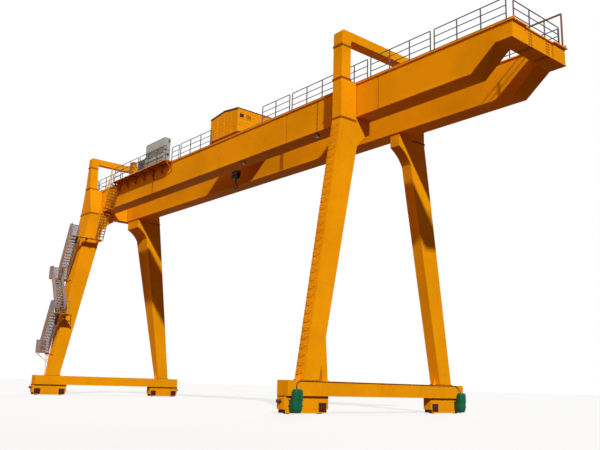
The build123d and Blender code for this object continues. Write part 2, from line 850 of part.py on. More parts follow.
# Stair: a zigzag of flights beside the left near leg, then two flights up to the platform
stair_low = x_left + stair_centre - stair_run / 2
stair_high = x_left + stair_centre + stair_run / 2
level_1, level_2, level_3 = low_levels
level_4 = girder_top - cross_drop
level_5 = girder_top - hung_drop
inner_edges = [leg_outer(level) + stair_clearance for level in low_levels]
upper_y = girder_outer + stair_clearance
cross_end = stair_high + cross_landing_length
hung_start = cross_end + upper_run
hung_end = hung_start + upper_landing
low_flights = [
    (stair_low, level_1, stair_high, level_2, inner_edges[0], stair_width),
    (stair_high, level_2, stair_low, level_3, inner_edges[1], stair_width),
    (stair_low, level_3, stair_high, level_4, inner_edges[2], stair_width),
]
high_flights = [
    (cross_end, level_4, hung_start, level_5, upper_y, upper_width),
    (hung_end, level_5, platform_x, girder_top, upper_y, upper_width),
]
flights = low_flights + high_flights

# Stair stringers: two raked plates for each flight
with BuildPart() as stringers:
    for x_low, z_low, x_high, z_high, y_inner, width in flights:
        for y_plate in (y_inner + stringer_plate / 2, y_inner + width - stringer_plate / 2):
            with BuildSketch(long_plane(-y_plate)) as stringer:
                with BuildLine() as stringer_outline:
                    Polyline(
                        (x_low, z_low + stringer_rise),
                        (x_high, z_high + stringer_rise),
                        (x_high, z_high + stringer_rise - stringer_depth),
                        (x_low, z_low + stringer_rise - stringer_depth),
                        close=True,
                    )
                make_face()
            extrude(amount=stringer_plate / 2, both=True)
save(stringers, "stair_stringers")

# Stair treads: level plates between the stringers
with BuildPart() as treads:
    for x_low, z_low, x_high, z_high, y_inner, width in flights:
        steps = round((z_high - z_low) / tread_rise)
        for index in range(1, steps):
            share = index / steps
            tread_top = z_low + share * (z_high - z_low)
            with BuildSketch(Plane.XY.offset(tread_top - tread_plate)) as tread:
                with Locations((x_low + share * (x_high - x_low), -y_inner - width / 2)):
                    Rectangle(tread_depth, width - 2 * stringer_plate)
            extrude(amount=tread_plate)
save(treads, "stair_treads")

# Stair landings: chequer plates on bearers fixed to the leg, the last one hung from the girder
with BuildPart() as landings:
    for index, level in enumerate(low_levels):
        end_sign = -1 if index % 2 == 0 else 1
        landing_edge = stair_low if end_sign < 0 else stair_high
        bearer_y = leg_outer(level - landing_plate - bearer_depth) + seat
        outer_y = inner_edges[max(index - 1, 0)] + stair_width
        with BuildSketch(Plane.XY.offset(level - landing_plate)) as landing_plan:
            with Locations((landing_edge + end_sign * stair_landing / 2, -(bearer_y + outer_y) / 2)):
                Rectangle(stair_landing, outer_y - bearer_y)
        extrude(amount=landing_plate)
        bearer_end = landing_edge + end_sign * stair_landing
        bearer_start = feet["left"] - end_sign * left_leg_base_width / 2
        with BuildSketch(Plane.XY.offset(level - landing_plate - bearer_depth)) as bearer_plan:
            with Locations(((bearer_start + bearer_end) / 2, -bearer_y - bearer_width / 2)):
                Rectangle(abs(bearer_end - bearer_start), bearer_width)
        extrude(amount=bearer_depth)
    with BuildSketch(Plane.XY.offset(level_4 - landing_plate)) as cross_landing:
        cross_outer = inner_edges[2] + stair_width
        with Locations(((stair_high + cross_end) / 2, -(upper_y + cross_outer) / 2)):
            Rectangle(cross_landing_length, cross_outer - upper_y)
    extrude(amount=landing_plate)
    leg_face = left_leg_face(level_4 - landing_plate) + seat
    bearer_reach = cross_end - leg_face
    for y_bearer in (leg_inner(level_4) + bearer_depth, leg_outer(level_4) - bearer_depth):
        with BuildSketch(Plane.XY.offset(level_4 - landing_plate - bearer_depth)) as cross_bearer:
            with Locations((leg_face + bearer_reach / 2, -y_bearer)):
                Rectangle(bearer_reach, bearer_width)
        extrude(amount=bearer_depth)
    with BuildSketch(Plane.XY.offset(level_5 - landing_plate)) as hung_landing:
        with Locations(((hung_start + hung_end) / 2, -upper_y - upper_width / 2)):
            Rectangle(upper_landing, upper_width)
    extrude(amount=landing_plate)
    hanger_y = girder_outer + seat
    for x_hanger in (hung_start + bearer_width / 2, hung_end - bearer_width / 2):
        with BuildSketch(Plane.XY.offset(level_5 - landing_plate)) as hanger:
            with Locations((x_hanger, -(hanger_y + upper_y + bearer_width) / 2)):
                Rectangle(bearer_width, upper_y + bearer_width - hanger_y)
        extrude(amount=portal_height + bearer_depth - level_5 + landing_plate)
save(landings, "stair_landings")

# Stair guards: mesh panels on the lower flights and round the landings, open rails on the upper flights
with BuildPart() as guards:
    for x_low, z_low, x_high, z_high, y_inner, width in low_flights:
        with BuildSketch(long_plane(-(y_inner + width - stringer_plate / 2))) as rake_panel:
            with BuildLine() as rake_outline:
                Polyline(
                    (x_low, z_low + stringer_rise),
                    (x_high, z_high + stringer_rise),
                    (x_high, z_high + panel_height),
                    (x_low, z_low + panel_height),
                    close=True,
                )
            make_face()
        extrude(amount=panel_sheet / 2, both=True)
    for index, level in enumerate(low_levels):
        end_sign = -1 if index % 2 == 0 else 1
        landing_edge = stair_low if end_sign < 0 else stair_high
        landing_end = landing_edge + end_sign * (stair_landing - panel_sheet)
        outer_y = inner_edges[max(index - 1, 0)] + stair_width - panel_sheet
        inner_y = inner_edges[index]
        with BuildSketch(Plane.XY.offset(level)) as corner_panels:
            with Locations((landing_end, -(outer_y + inner_y) / 2)):
                Rectangle(panel_sheet, outer_y - inner_y + panel_sheet)
            with Locations((landing_end - end_sign * stair_landing / 2, -outer_y)):
                Rectangle(stair_landing - 4 * panel_sheet, panel_sheet)
        extrude(amount=panel_height)
    with BuildSketch(Plane.XY.offset(level_4)) as cross_panel:
        with Locations(((stair_high + cross_end) / 2, panel_sheet - cross_outer)):
            Rectangle(cross_landing_length - 2 * panel_sheet, panel_sheet)
    extrude(amount=panel_height)
    for x_low, z_low, x_high, z_high, y_inner, width in high_flights:
        slope = (z_high - z_low) / (x_high - x_low)
        foot = z_low + stringer_rise
        with BuildSketch(long_plane(-(y_inner + width - stringer_plate / 2))) as flight_rail:
            for post_low in (x_low, (x_low + x_high - rail_post) / 2, x_high - rail_post):
                post_foot = foot + slope * (post_low - x_low)
                with BuildLine() as post_outline:
                    Polyline(
                        (post_low, post_foot),
                        (post_low + rail_post, post_foot + slope * rail_post),
                        (post_low + rail_post, post_foot + slope * rail_post + guard_height),
                        (post_low, post_foot + guard_height),
                        close=True,
                    )
                make_face()
            for bar_height in (guard_height / 2, guard_height):
                with BuildLine() as bar_outline:
                    Polyline(
                        (x_low, foot + bar_height - rake_bar),
                        (x_high, foot + z_high - z_low + bar_height - rake_bar),
                        (x_high, foot + z_high - z_low + bar_height),
                        (x_low, foot + bar_height),
                        close=True,
                    )
                make_face()
        extrude(flight_rail.sketch, amount=panel_sheet / 2, both=True)
save(guards, "stair_guards")

# Step irons: bent bars welded to the outer face of the right near leg, one above another
lean_angle = math.atan(leg_lean)
leg_length = (leg_top - sill_top) / math.cos(lean_angle)
up_the_leg = Vector(0, math.sin(lean_angle), math.cos(lean_angle))
out_of_leg = Vector(0, -math.cos(lean_angle), math.sin(lean_angle))
leg_foot = Vector(x_right, -leg_base_outer, sill_top)
with BuildPart() as step_irons:
    for index in range(1, int((leg_length - iron_pitch) / iron_pitch) + 1):
        iron_seat = leg_foot + up_the_leg * (index * iron_pitch) + out_of_leg * seat
        with BuildSketch(Plane(iron_seat, x_dir=(-1, 0, 0), z_dir=up_the_leg)) as iron:
            with Locations((0, iron_reach / 2)):
                Rectangle(iron_width, iron_reach)
            with Locations((0, (iron_reach - iron_bar) / 2)):
                Rectangle(iron_width - 2 * iron_bar, iron_reach - iron_bar, mode=Mode.SUBTRACT)
        extrude(amount=iron_bar / 2, both=True)
save(step_irons, "leg_step_irons")

# Landing ladder: two side bars and rungs from the sill up to the first landing
with BuildPart() as landing_ladder:
    ladder_x = stair_low - stair_landing / 2
    ladder_y = leg_outer(level_1 - landing_plate - bearer_depth)
    rungs = round((level_1 - sill_bottom) / ladder_pitch)
    with BuildSketch(long_plane(-ladder_y + ladder_bar)) as ladder_frame:
        with Locations((ladder_x, (sill_bottom + level_1) / 2)):
            with GridLocations(ladder_width, 1, 2, 1):
                Rectangle(ladder_bar, level_1 - sill_bottom)
        for index in range(1, rungs):
            with Locations((ladder_x, sill_bottom + index * (level_1 - sill_bottom) / rungs)):
                Rectangle(ladder_width, ladder_bar)
    extrude(amount=ladder_bar)
save(landing_ladder, "landing_ladder")

# Festoon track: a bar on posts along the far girder that carries the trolley's supply
with BuildPart() as festoon:
    festoon_first = x_start + festoon_inset
    festoon_last = x_end - festoon_inset
    festoon_bays = round((festoon_last - festoon_first) / festoon_spacing)
    post_height = festoon_height - festoon_bar - seat
    with BuildSketch(long_plane(girder_outer - festoon_post / 2)) as festoon_side:
        with Locations(((festoon_first + festoon_last) / 2, girder_top + festoon_height - festoon_bar / 2)):
            Rectangle(festoon_last - festoon_first + festoon_post, festoon_bar)
        for index in range(festoon_bays + 1):
            post_x = festoon_first + index * (festoon_last - festoon_first) / festoon_bays
            with Locations((post_x, girder_top + post_height / 2)):
                Rectangle(festoon_post, post_height)
    extrude(amount=festoon_post / 2, both=True)
save(festoon, "festoon_track")

# Floodlights: lamps on short stems under the near girder
with BuildPart() as lamps:
    for place in lamp_places:
        lamp_x = x_right + place
        lamp_y = -girder_outer + lamp_inset
        with BuildSketch(Plane.XY.offset(portal_height - lamp_stem)) as stem:
            with Locations((lamp_x, lamp_y)):
                Rectangle(lamp_stem, lamp_stem)
        extrude(amount=lamp_stem)
        with BuildSketch(Plane.XY.offset(portal_height - lamp_stem - lamp_depth)) as lamp:
            with Locations((lamp_x, lamp_y)):
                Rectangle(lamp_length, lamp_width)
        extrude(amount=lamp_depth)
save(lamps, "floodlights")
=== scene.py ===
import math

import bpy
import numpy as np
from mathutils import Matrix, Vector


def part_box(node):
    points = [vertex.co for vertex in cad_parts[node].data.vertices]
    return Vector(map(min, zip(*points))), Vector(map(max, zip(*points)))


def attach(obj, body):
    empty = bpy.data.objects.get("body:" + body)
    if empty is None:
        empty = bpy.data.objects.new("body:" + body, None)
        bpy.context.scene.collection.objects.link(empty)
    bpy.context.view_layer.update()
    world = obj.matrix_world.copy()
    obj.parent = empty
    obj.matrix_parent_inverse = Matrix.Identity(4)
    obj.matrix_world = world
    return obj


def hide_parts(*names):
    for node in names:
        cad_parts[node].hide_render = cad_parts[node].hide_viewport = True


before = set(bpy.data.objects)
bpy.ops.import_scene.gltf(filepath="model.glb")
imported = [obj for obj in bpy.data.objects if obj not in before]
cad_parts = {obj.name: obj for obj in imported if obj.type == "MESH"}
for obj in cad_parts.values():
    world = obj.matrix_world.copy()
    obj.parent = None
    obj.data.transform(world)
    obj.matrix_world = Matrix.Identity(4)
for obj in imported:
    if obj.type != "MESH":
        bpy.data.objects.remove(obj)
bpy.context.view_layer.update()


# Main girders and end beams: boxes welded from steel plate, sprayed with one thick coat of yellow paint.
# Rain leaves faint streaks down the webs and dust settles on the upper faces. The near girder is spliced
# on site, a thin conduit runs down its web to a floodlight, and the end beams are bolted up.
class Socket:
    """One output of a shader node: arithmetic on it adds Math nodes to the same tree."""

    def __init__(self, tree, output):
        self.tree = tree
        self.output = output

    @staticmethod
    def node(tree, kind, settings=None, values=None, output=0):
        """Add a node: its settings come first, then the values or links of its sockets."""
        made = tree.nodes.new("ShaderNode" + kind)
        for name, value in (settings or {}).items():
            setattr(made, name, value)
        for name, value in (values or {}).items():
            if isinstance(value, Socket):
                tree.links.new(value.output, made.inputs[name])
            elif isinstance(value, tuple) and made.inputs[name].type == "RGBA":
                made.inputs[name].default_value = (*value, 1.0)
            else:
                made.inputs[name].default_value = value
        return Socket(tree, made.outputs[output])

    def arithmetic(self, operation, first, second):
        """One Math node that joins two values."""
        return Socket.node(self.tree, "Math", {"operation": operation}, {0: first, 1: second})

    def __add__(self, other):
        return self.arithmetic("ADD", self, other)

    def __radd__(self, other):
        return self.arithmetic("ADD", other, self)

    def __mul__(self, other):
        return self.arithmetic("MULTIPLY", self, other)

    def __rmul__(self, other):
        return self.arithmetic("MULTIPLY", other, self)

    def __gt__(self, other):
        return self.arithmetic("GREATER_THAN", self, other)

    def step(self, low, high):
        """A smooth step from 0 at low to 1 at high."""
        settings = {"interpolation_type": "SMOOTHSTEP"}
        values = {"Value": self, "From Min": low, "From Max": high}
        return Socket.node(self.tree, "MapRange", settings, values)

    def mix(self, first, second):
        """A colour that goes from first to second as this value goes from 0 to 1."""
        settings = {"data_type": "RGBA"}
        return Socket.node(self.tree, "Mix", settings, {0: self, 6: first, 7: second}, output=2)


def new_tree(name):
    """A material with an empty node tree, and that tree."""
    material = bpy.data.materials.new(name)
    material.use_nodes = True
    material.node_tree.nodes.clear()
    return material, material.node_tree


def close_tree(tree, shader):
    """Send a finished shader to the surface."""
    end = tree.nodes.new("ShaderNodeOutputMaterial")
    tree.links.new(shader.output, end.inputs["Surface"])


def noise(tree, place, scale, detail=3.0, stretch=(1.0, 1.0, 1.0)):
    """Noise in the crane's own frame, drawn out along the axes by stretch."""
    drawn = Socket.node(tree, "Mapping", {}, {"Vector": place, "Scale": stretch})
    return Socket.node(tree, "TexNoise", {}, {"Vector": drawn, "Scale": scale, "Detail": detail})


def painted_steel(name, colour, streak, roughness, shine, metal=0.0):
    """Weathered paint or zinc: a tint that drifts, rain streaks, settled dust and a faint orange peel."""
    material, tree = new_tree(name)
    place = Socket.node(tree, "TexCoord", output=3)
    drift = noise(tree, place, 0.6)
    mottle = noise(tree, place, 9.0, 4.0)
    runs = noise(tree, place, 5.0, 5.0, (1.0, 1.0, 0.06)).step(0.55, 0.80)
    patch = noise(tree, place, 1.3, 4.0).step(0.42, 0.68)
    normal = Socket.node(tree, "NewGeometry", output=1)
    upward = Socket.node(tree, "SeparateXYZ", {}, {0: normal}, output=2).step(0.6, 0.95)
    deep = tuple(0.86 * part for part in colour)
    base = (0.75 * drift + 0.25 * mottle).step(0.36, 0.64).mix(deep, colour)
    base = (0.35 * runs * patch).mix(base, streak)
    base = (0.45 * upward * mottle).mix(base, DUST_GREY)
    rough = roughness + 0.16 * mottle + 0.12 * runs * patch + 0.15 * upward
    peel = noise(tree, place, 160.0, 2.0)
    wave = noise(tree, place, 2.2, 2.0)
    height = {"Strength": 0.12, "Distance": 0.01, "Height": 0.1 * peel + wave}
    bump = Socket.node(tree, "Bump", {}, height)
    values = {"Base Color": base, "Roughness": rough, "Normal": bump, "Metallic": metal,
              "Specular IOR Level": shine}
    close_tree(tree, Socket.node(tree, "BsdfPrincipled", {}, values))
    return material


def finish_nodes(material, *names):
    """Give CAD nodes a finished material in place of their plain one."""
    for name in names:
        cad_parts[name].data.materials.clear()
        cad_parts[name].data.materials.append(material)


def boxes(low, high):
    """Boxes from rows of low and high corners: each corner takes each axis from one of the two."""
    low, high = np.atleast_2d(low).astype(float), np.atleast_2d(high).astype(float)
    pick = np.array([(x, y, z) for z in (0, 1) for y in (0, 1) for x in (0, 1)])
    corners = np.where(pick[None] == 1, high[:, None], low[:, None])
    sides = np.array([(0, 2, 3, 1), (4, 5, 7, 6), (0, 1, 5, 4), (2, 6, 7, 3), (0, 4, 6, 2), (1, 3, 7, 5)])
    faces = sides[None] + 8 * np.arange(len(low))[:, None, None]
    return corners.reshape(-1, 3), [faces.reshape(-1, 4)]


def skin(rings):
    """Close sleeves, each a row of rings of points: quads between the rings and a cap on both ends."""
    count, stations, sides, _ = rings.shape
    index = np.arange(count * stations * sides).reshape(count, stations, sides)
    ahead = np.roll(index, -1, axis=2)
    quads = np.stack([index[:, :-1], ahead[:, :-1], ahead[:, 1:], index[:, 1:]], axis=-1)
    return rings.reshape(-1, 3), [quads.reshape(-1, 4), index[:, 0, ::-1], index[:, -1]]


def tubes(paths, across, radius, sides=8):
    """Bars along paths: each ring is the point plus radius times (cos t across + sin t sideways),
    where sideways is square to the path and to across."""
    paths = np.asarray(paths, dtype=float)
    along = np.gradient(paths, axis=1)
    along /= np.linalg.norm(along, axis=2, keepdims=True)
    across = np.broadcast_to(np.asarray(across, dtype=float), paths.shape)
    sideways = np.cross(along, across)
    sideways /= np.linalg.norm(sideways, axis=2, keepdims=True)
    turn = 2 * np.pi * np.arange(sides)[:, None] / sides
    ring = np.cos(turn) * across[:, :, None] + np.sin(turn) * sideways[:, :, None]
    return skin(paths[:, :, None] + radius * ring)


def bars(starts, reach, across, radius, sides=8):
    """Straight bars that go from rows of starts by one reach."""
    starts = np.atleast_2d(starts)
    return tubes(np.stack([starts, starts + reach], axis=1), across, radius, sides)


def piece(name, shapes, material, body="gantry", replaced=()):
    """Join shapes into one mesh, smooth but for edges past 35 degrees, and fix it to a body."""
    corners, faces, start = [], [], 0
    for points, groups in shapes:
        corners.append(points)
        faces += [face for group in groups for face in (group + start).tolist()]
        start += len(points)
    mesh = bpy.data.meshes.new(name)
    mesh.from_pydata(np.concatenate(corners).tolist(), [], faces)
    mesh.shade_smooth()
    mesh.set_sharp_from_angle(angle=math.radians(35))
    mesh.materials.append(material)
    made = bpy.data.objects.new(name, mesh)
    bpy.context.scene.collection.objects.link(made)
    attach(made, body)
    if replaced:
        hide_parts(*replaced)


CRANE_YELLOW = (0.90, 0.345, 0.002)
STREAK_BROWN = (0.42, 0.13, 0.008)
DUST_GREY = (0.50, 0.42, 0.30)
yellow_paint = painted_steel("yellow_paint", CRANE_YELLOW, STREAK_BROWN, roughness=0.50, shine=0.03)
finish_nodes(yellow_paint, *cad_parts)

GIRDER_DEPTH, FLANGE = 1.0, 0.028
WEB_FACE = -1.114
web_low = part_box("near_girder")[0].z + FLANGE
web_high = web_low + GIRDER_DEPTH - 2 * FLANGE
web_depth = web_high - web_low
SEAM_PLACES = np.array([3.160, 7.085])
SEAM_WIDTH, SEAM_PROUD = 0.010, 0.003
# A dark brown for seams, the conduit and bolts, also used as painted shade in the bands at the flange joints
# and under the sills.
SEAM_AND_SHADE_BROWN = (0.20, 0.060, 0.006)
seam_and_shade_paint = painted_steel("seam_and_shade_paint", SEAM_AND_SHADE_BROWN, STREAK_BROWN, roughness=0.55, shine=0.05)
seam_low = np.array([(x - SEAM_WIDTH / 2, WEB_FACE - SEAM_PROUD, web_low) for x in SEAM_PLACES])
web_seams = boxes(seam_low, seam_low + (SEAM_WIDTH, SEAM_PROUD, web_depth))
piece("web_seams", [web_seams], seam_and_shade_paint)

# Painted shade: a darker brown band down the far girder's inner web. The same shade brown also darkens the
# cabinet platform and its duct cover.
SHADE_BROWN = (0.50, 0.150, 0.004)
shade_brown_paint = painted_steel("shade_brown_paint", SHADE_BROWN, SEAM_AND_SHADE_BROWN, roughness=0.55, shine=0.03)
SHADE_BAND_X, SHADE_BAND_Y = (0.660, 0.850), (0.603, 0.611)
far_web_shade_band = boxes((SHADE_BAND_X[0], SHADE_BAND_Y[0], web_low), (SHADE_BAND_X[1], SHADE_BAND_Y[1], web_high))
piece("far_web_painted_shade", [far_web_shade_band], shade_brown_paint)

KERB_DULL = (0.52, 0.215, 0.035)
kerb_paint = painted_steel("kerb_paint", KERB_DULL, SEAM_AND_SHADE_BROWN, roughness=0.60, shine=0.03)
KERB_REACH, KERB_INNER, KERB_OUTER = 11.200, 1.0815, 1.1005
KERB_FOOT, KERB_TOP = 8.936, 9.0015
kerb_covers = boxes([(-KERB_REACH, -KERB_OUTER, KERB_FOOT), (-KERB_REACH, KERB_INNER, KERB_FOOT)],
                    [(KERB_REACH, -KERB_INNER, KERB_TOP), (KERB_REACH, KERB_OUTER, KERB_TOP)])
piece("kerb_covers", [kerb_covers], kerb_paint)

CONDUIT_PLACE, CONDUIT_RADIUS = 4.600, 0.007
conduit_foot = np.array((CONDUIT_PLACE, WEB_FACE - CONDUIT_RADIUS, web_low))
conduit = bars(conduit_foot, (0, 0, web_depth), (1, 0, 0), CONDUIT_RADIUS)
STRAP_COUNT, STRAP_INSET, STRAP_PROUD = 6, 0.08, 0.001
STRAP_HALF = (0.020, 0.008, 0.008)
strap_lift = np.linspace(STRAP_INSET, web_depth - STRAP_INSET, STRAP_COUNT)[:, None]
strap_middle = conduit_foot + strap_lift * np.array((0, 0, 1.0)) - (0, STRAP_PROUD, 0)
straps = boxes(strap_middle - STRAP_HALF, strap_middle + STRAP_HALF)
piece("lamp_conduit", [conduit, straps], seam_and_shade_paint)

END_FACES = {1: 11.2315, -1: -11.2315}
END_FLOORS = {1: 8.485, -1: 7.935}
END_ROWS = {1: np.linspace(8.545, 8.875, 6), -1: np.linspace(8.0, 8.87, 12)}
FLOOR_ROWS = np.linspace(10.88, 11.22, 6)
BOLT_RADIUS, BOLT_HEAD = 0.013, 0.009
BOLT_COLUMNS = np.array([-0.420, -0.385, -0.339, -0.304, 0.304, 0.339, 0.385, 0.420])
splice_bolts = []
for outward, face in END_FACES.items():
    bolt_y, bolt_z = (grid.ravel() for grid in np.meshgrid(BOLT_COLUMNS, END_ROWS[outward]))
    head = np.stack([np.full(bolt_y.size, face), bolt_y, bolt_z], axis=1)
    splice_bolts.append(bars(head, (outward * BOLT_HEAD, 0, 0), (0, 0, 1), BOLT_RADIUS, sides=6))
    bolt_x, bolt_y = (grid.ravel() for grid in np.meshgrid(outward * FLOOR_ROWS, BOLT_COLUMNS))
    head = np.stack([bolt_x, bolt_y, np.full(bolt_x.size, END_FLOORS[outward])], axis=1)
    splice_bolts.append(bars(head, (0, 0, -BOLT_HEAD), (1, 0, 0), BOLT_RADIUS, sides=6))
piece("end_splice_bolts", splice_bolts, seam_and_shade_paint)


# Legs, saddles, columns and top ties: tapered plate boxes with welded flanges, joined by rows of bolts
# that go through each pair of flanges, and painted with the rest of the frame.
def rim(low, high, pitch):
    """Points about a pitch apart round a level rectangle that goes from low to high."""
    corners = np.array([(low[0], low[1]), (high[0], low[1]), (high[0], high[1]), (low[0], high[1])])
    sides = []
    for start, end in zip(corners, np.roll(corners, -1, axis=0)):
        count = max(2, round(float(np.linalg.norm(end - start)) / pitch))
        sides.append(start + np.arange(count)[:, None] / count * (end - start))
    return np.concatenate(sides)


def upright_bolts(places, level, below, above):
    """Six-sided bolts through a level joint, from below it to above it."""
    low = np.column_stack([places, np.full(len(places), level - below)])
    high = np.column_stack([places, np.full(len(places), level + above)])
    return tubes(np.stack([low, high], axis=1), (1, 0, 0), STUD_RADIUS, sides=6)


X_FRAMES = {"right": 6.0825, "left": -10.2575}
X_FEET = {"right": 6.0825, "left": -10.1275}
HALF_WIDTHS = {"right": (0.175, 0.175, 0.175, 0.175), "left": (0.175, 0.525, 0.2435, 0.125)}
FOOT_SIDES, HEAD_SIDES, SADDLE_SIDES = (2.300, 2.788), (1.170, 1.709), (1.374, 1.709)
LEVELS = (0.810, 7.813, 8.968, 9.945)
LIP, BOLT_PITCH, STUD_RADIUS = 0.009, 0.095, 0.0085
BOLT_REACH, FOOT_NUT = 0.032, 0.010
# Dark bands round each flange pair: the dark joint line, widened with painted shade from the flange lips.
SEAM_SHADE_LIP, SEAM_SHADE_HALF, FOOT_SEAM_SHADE = 0.0195, 0.015, 0.022
joint_bolts, joint_seam_shade = [], []
for side, x_frame in X_FRAMES.items():
    foot, head, saddle, column = HALF_WIDTHS[side]
    for sign in (-1, 1):
        spans = [(X_FEET[side], foot, *FOOT_SIDES), (x_frame, head, *HEAD_SIDES),
                 (x_frame, saddle, *SADDLE_SIDES), (x_frame, column, *SADDLE_SIDES)]
        for (x, half, inner, outer), level in zip(spans, LEVELS):
            y_low, y_high = sorted((sign * (inner - LIP), sign * (outer + LIP)))
            places = rim((x - half - LIP, y_low), (x + half + LIP, y_high), BOLT_PITCH)
            at_foot = level == LEVELS[0]
            below, above = (0.0, FOOT_NUT) if at_foot else (BOLT_REACH, BOLT_REACH)
            middle = level - FOOT_SEAM_SHADE if at_foot else level
            joint_bolts.append(upright_bolts(places, level, below, above))
            y_low, y_high = sorted((sign * (inner - SEAM_SHADE_LIP), sign * (outer + SEAM_SHADE_LIP)))
            joint_seam_shade.append(boxes((x - half - SEAM_SHADE_LIP, y_low, middle - SEAM_SHADE_HALF),
                                     (x + half + SEAM_SHADE_LIP, y_high, middle + SEAM_SHADE_HALF)))
piece("joint_bolts", joint_bolts, seam_and_shade_paint)
piece("joint_seam_shade", joint_seam_shade, seam_and_shade_paint)


# Sills and bogies: box beams along the ground, with the wheel axles carried in the bogies' side plates.
# Dark guard plates cover the wheels, each axle end is kept by a cap with four screws, and a cable runs
# along each sill to the drives.
def turned(centres, axis, across, profile, sides=32):
    """Round pieces: a profile of places along an axis and radii, carried round that axis."""
    along, radius = np.asarray(profile, dtype=float).T
    axis, across = np.asarray(axis, dtype=float), np.asarray(across, dtype=float)
    turn = 2 * np.pi * np.arange(sides)[:, None] / sides
    ring = np.cos(turn) * across + np.sin(turn) * np.cross(axis, across)
    centres = np.atleast_2d(np.asarray(centres, dtype=float))
    stations = along[:, None, None] * axis + radius[:, None, None] * ring
    return skin(centres[:, None, None] + stations[None])


WHEEL_PLACES = {"inner": 2.125, "outer": 3.150}
AXLE_HEIGHT = 0.150
BOGIE_FACE = 0.130
GUARD_PLATE, GUARD_HALF = 0.005, 0.125
GUARD_LOW, GUARD_HIGH = 0.050, 0.268
CAP = [(0.0, 0.056), (0.006, 0.056), (0.010, 0.050), (0.012, 0.030)]
SCREW_CIRCLE, SCREW_SEAT, SCREW_HEAD, SCREW_RADIUS = 0.040, 0.008, 0.007, 0.006
SCREW_SPREAD = SCREW_CIRCLE * np.array([(0, 1, 1), (0, -1, 1), (0, -1, -1), (0, 1, -1)]) / math.sqrt(2)
axle_caps, guard_low, guard_high = [], [], []
for side, x_foot in X_FEET.items():
    for sign in (-1, 1):
        for place, wheel_y in WHEEL_PLACES.items():
            outward = 1 if side == "right" else -1
            for face in (-1, 1):
                if place == "outer" and face == outward:
                    continue
                centre = np.array([x_foot + face * (BOGIE_FACE + GUARD_PLATE), sign * wheel_y, AXLE_HEIGHT])
                guard_x = np.sort([centre[0], x_foot + face * BOGIE_FACE])
                guard_low.append((guard_x[0], centre[1] - GUARD_HALF, GUARD_LOW))
                guard_high.append((guard_x[1], centre[1] + GUARD_HALF, GUARD_HIGH))
                axle_caps.append(turned(centre, (face, 0, 0), (0, 0, 1), CAP, sides=24))
                screw = centre + SCREW_SPREAD + (face * SCREW_SEAT, 0, 0)
                axle_caps.append(bars(screw, (face * SCREW_HEAD, 0, 0), (0, 0, 1), SCREW_RADIUS, sides=6))
GUARD_BROWN = (0.075, 0.022, 0.010)
guard_paint = painted_steel("guard_brown", GUARD_BROWN, SEAM_AND_SHADE_BROWN, roughness=0.60, shine=0.1)
piece("axle_caps", axle_caps, guard_paint)
piece("wheel_guards", [boxes(guard_low, guard_high)], guard_paint)

SILL_FACE, SILL_FLOOR = 0.205, 0.425
BOGIE_INNER, BOGIE_OUTER = 1.935, 3.340
# Dark band round the top of each bogie: the joint line with painted shade from the sill's bottom edge over
# it.
BOGIE_SEAM_SHADE, SEAM_SHADE_SKIN = 0.026, 0.001
SKIRT, SKIRT_INSET, SKIRT_LOW, SKIRT_HIGH = 0.006, 0.050, 0.022, 0.112
CABLE_RADIUS = 0.009
CABLE_Y = np.array([2.86, 2.95, 3.01, 3.05, 3.07, 3.08])
CABLE_Z = np.array([0.772, 0.765, 0.740, 0.700, 0.640, 0.560])
CABLE_OUT = SILL_FACE + CABLE_RADIUS + np.array([0.0, 0.002, 0.011, 0.026, 0.051, 0.081])
bogie_seam_shade, skirts, cables = [], [], []
for side, x_foot in X_FEET.items():
    outward = 1 if side == "right" else -1
    for sign in (-1, 1):
        y_low, y_high = sorted((sign * (BOGIE_INNER - SEAM_SHADE_SKIN), sign * (BOGIE_OUTER + SEAM_SHADE_SKIN)))
        bogie_seam_shade.append(boxes((x_foot - BOGIE_FACE - SEAM_SHADE_SKIN, y_low, SILL_FLOOR - BOGIE_SEAM_SHADE),
                                 (x_foot + BOGIE_FACE + SEAM_SHADE_SKIN, y_high, SILL_FLOOR)))
        for face in (-1, 1):
            skirt_x = np.sort([x_foot + face * BOGIE_FACE, x_foot + face * (BOGIE_FACE - SKIRT)])
            skirts.append(boxes((skirt_x[0], y_low + SKIRT_INSET, SKIRT_LOW),
                                (skirt_x[1], y_high - SKIRT_INSET, SKIRT_HIGH)))
    half_run = np.stack([x_foot + outward * CABLE_OUT, CABLE_Y, CABLE_Z], axis=1)
    cable_run = np.concatenate([half_run[::-1] * (1, -1, 1), half_run])
    cables.append(tubes(cable_run[None], (outward, 0, 0), CABLE_RADIUS, sides=6))
piece("bogie_seam_shade", bogie_seam_shade, seam_and_shade_paint)
piece("bogie_skirts", skirts, yellow_paint)
piece("sill_cables", cables, guard_paint)

# Travel wheels: forged steel with a flange on both sides of the tread and a dished web with four bosses,
# pressed on an axle. Oil has darkened them, and thin rust runs over the webs.
WHEEL_STEEL = (0.060, 0.036, 0.028)
WHEEL_RUST = (0.15, 0.055, 0.02)
wheel_steel = painted_steel("wheel_steel", WHEEL_STEEL, WHEEL_RUST, roughness=0.50, shine=0.3, metal=0.3)
WHEEL_WEB = 0.024
BOSS_CIRCLE, BOSS_HEIGHT, BOSS_RADIUS = 0.086, 0.008, 0.010
BOSS_SPREAD = BOSS_CIRCLE * np.array([(0, 1, 0), (0, 0, 1), (0, -1, 0), (0, 0, -1)])
half_wheel = np.array([(0.030, 0.135), (0.032, 0.147), (0.036, 0.150), (0.042, 0.150), (0.045, 0.146),
                       (0.045, 0.112), (0.028, 0.104), (WHEEL_WEB, 0.070), (0.040, 0.058), (0.062, 0.054),
                       (0.062, 0.032), (0.126, 0.032), (0.128, 0.029)])
wheel_profile = np.concatenate([half_wheel[::-1] * (-1, 1), half_wheel])
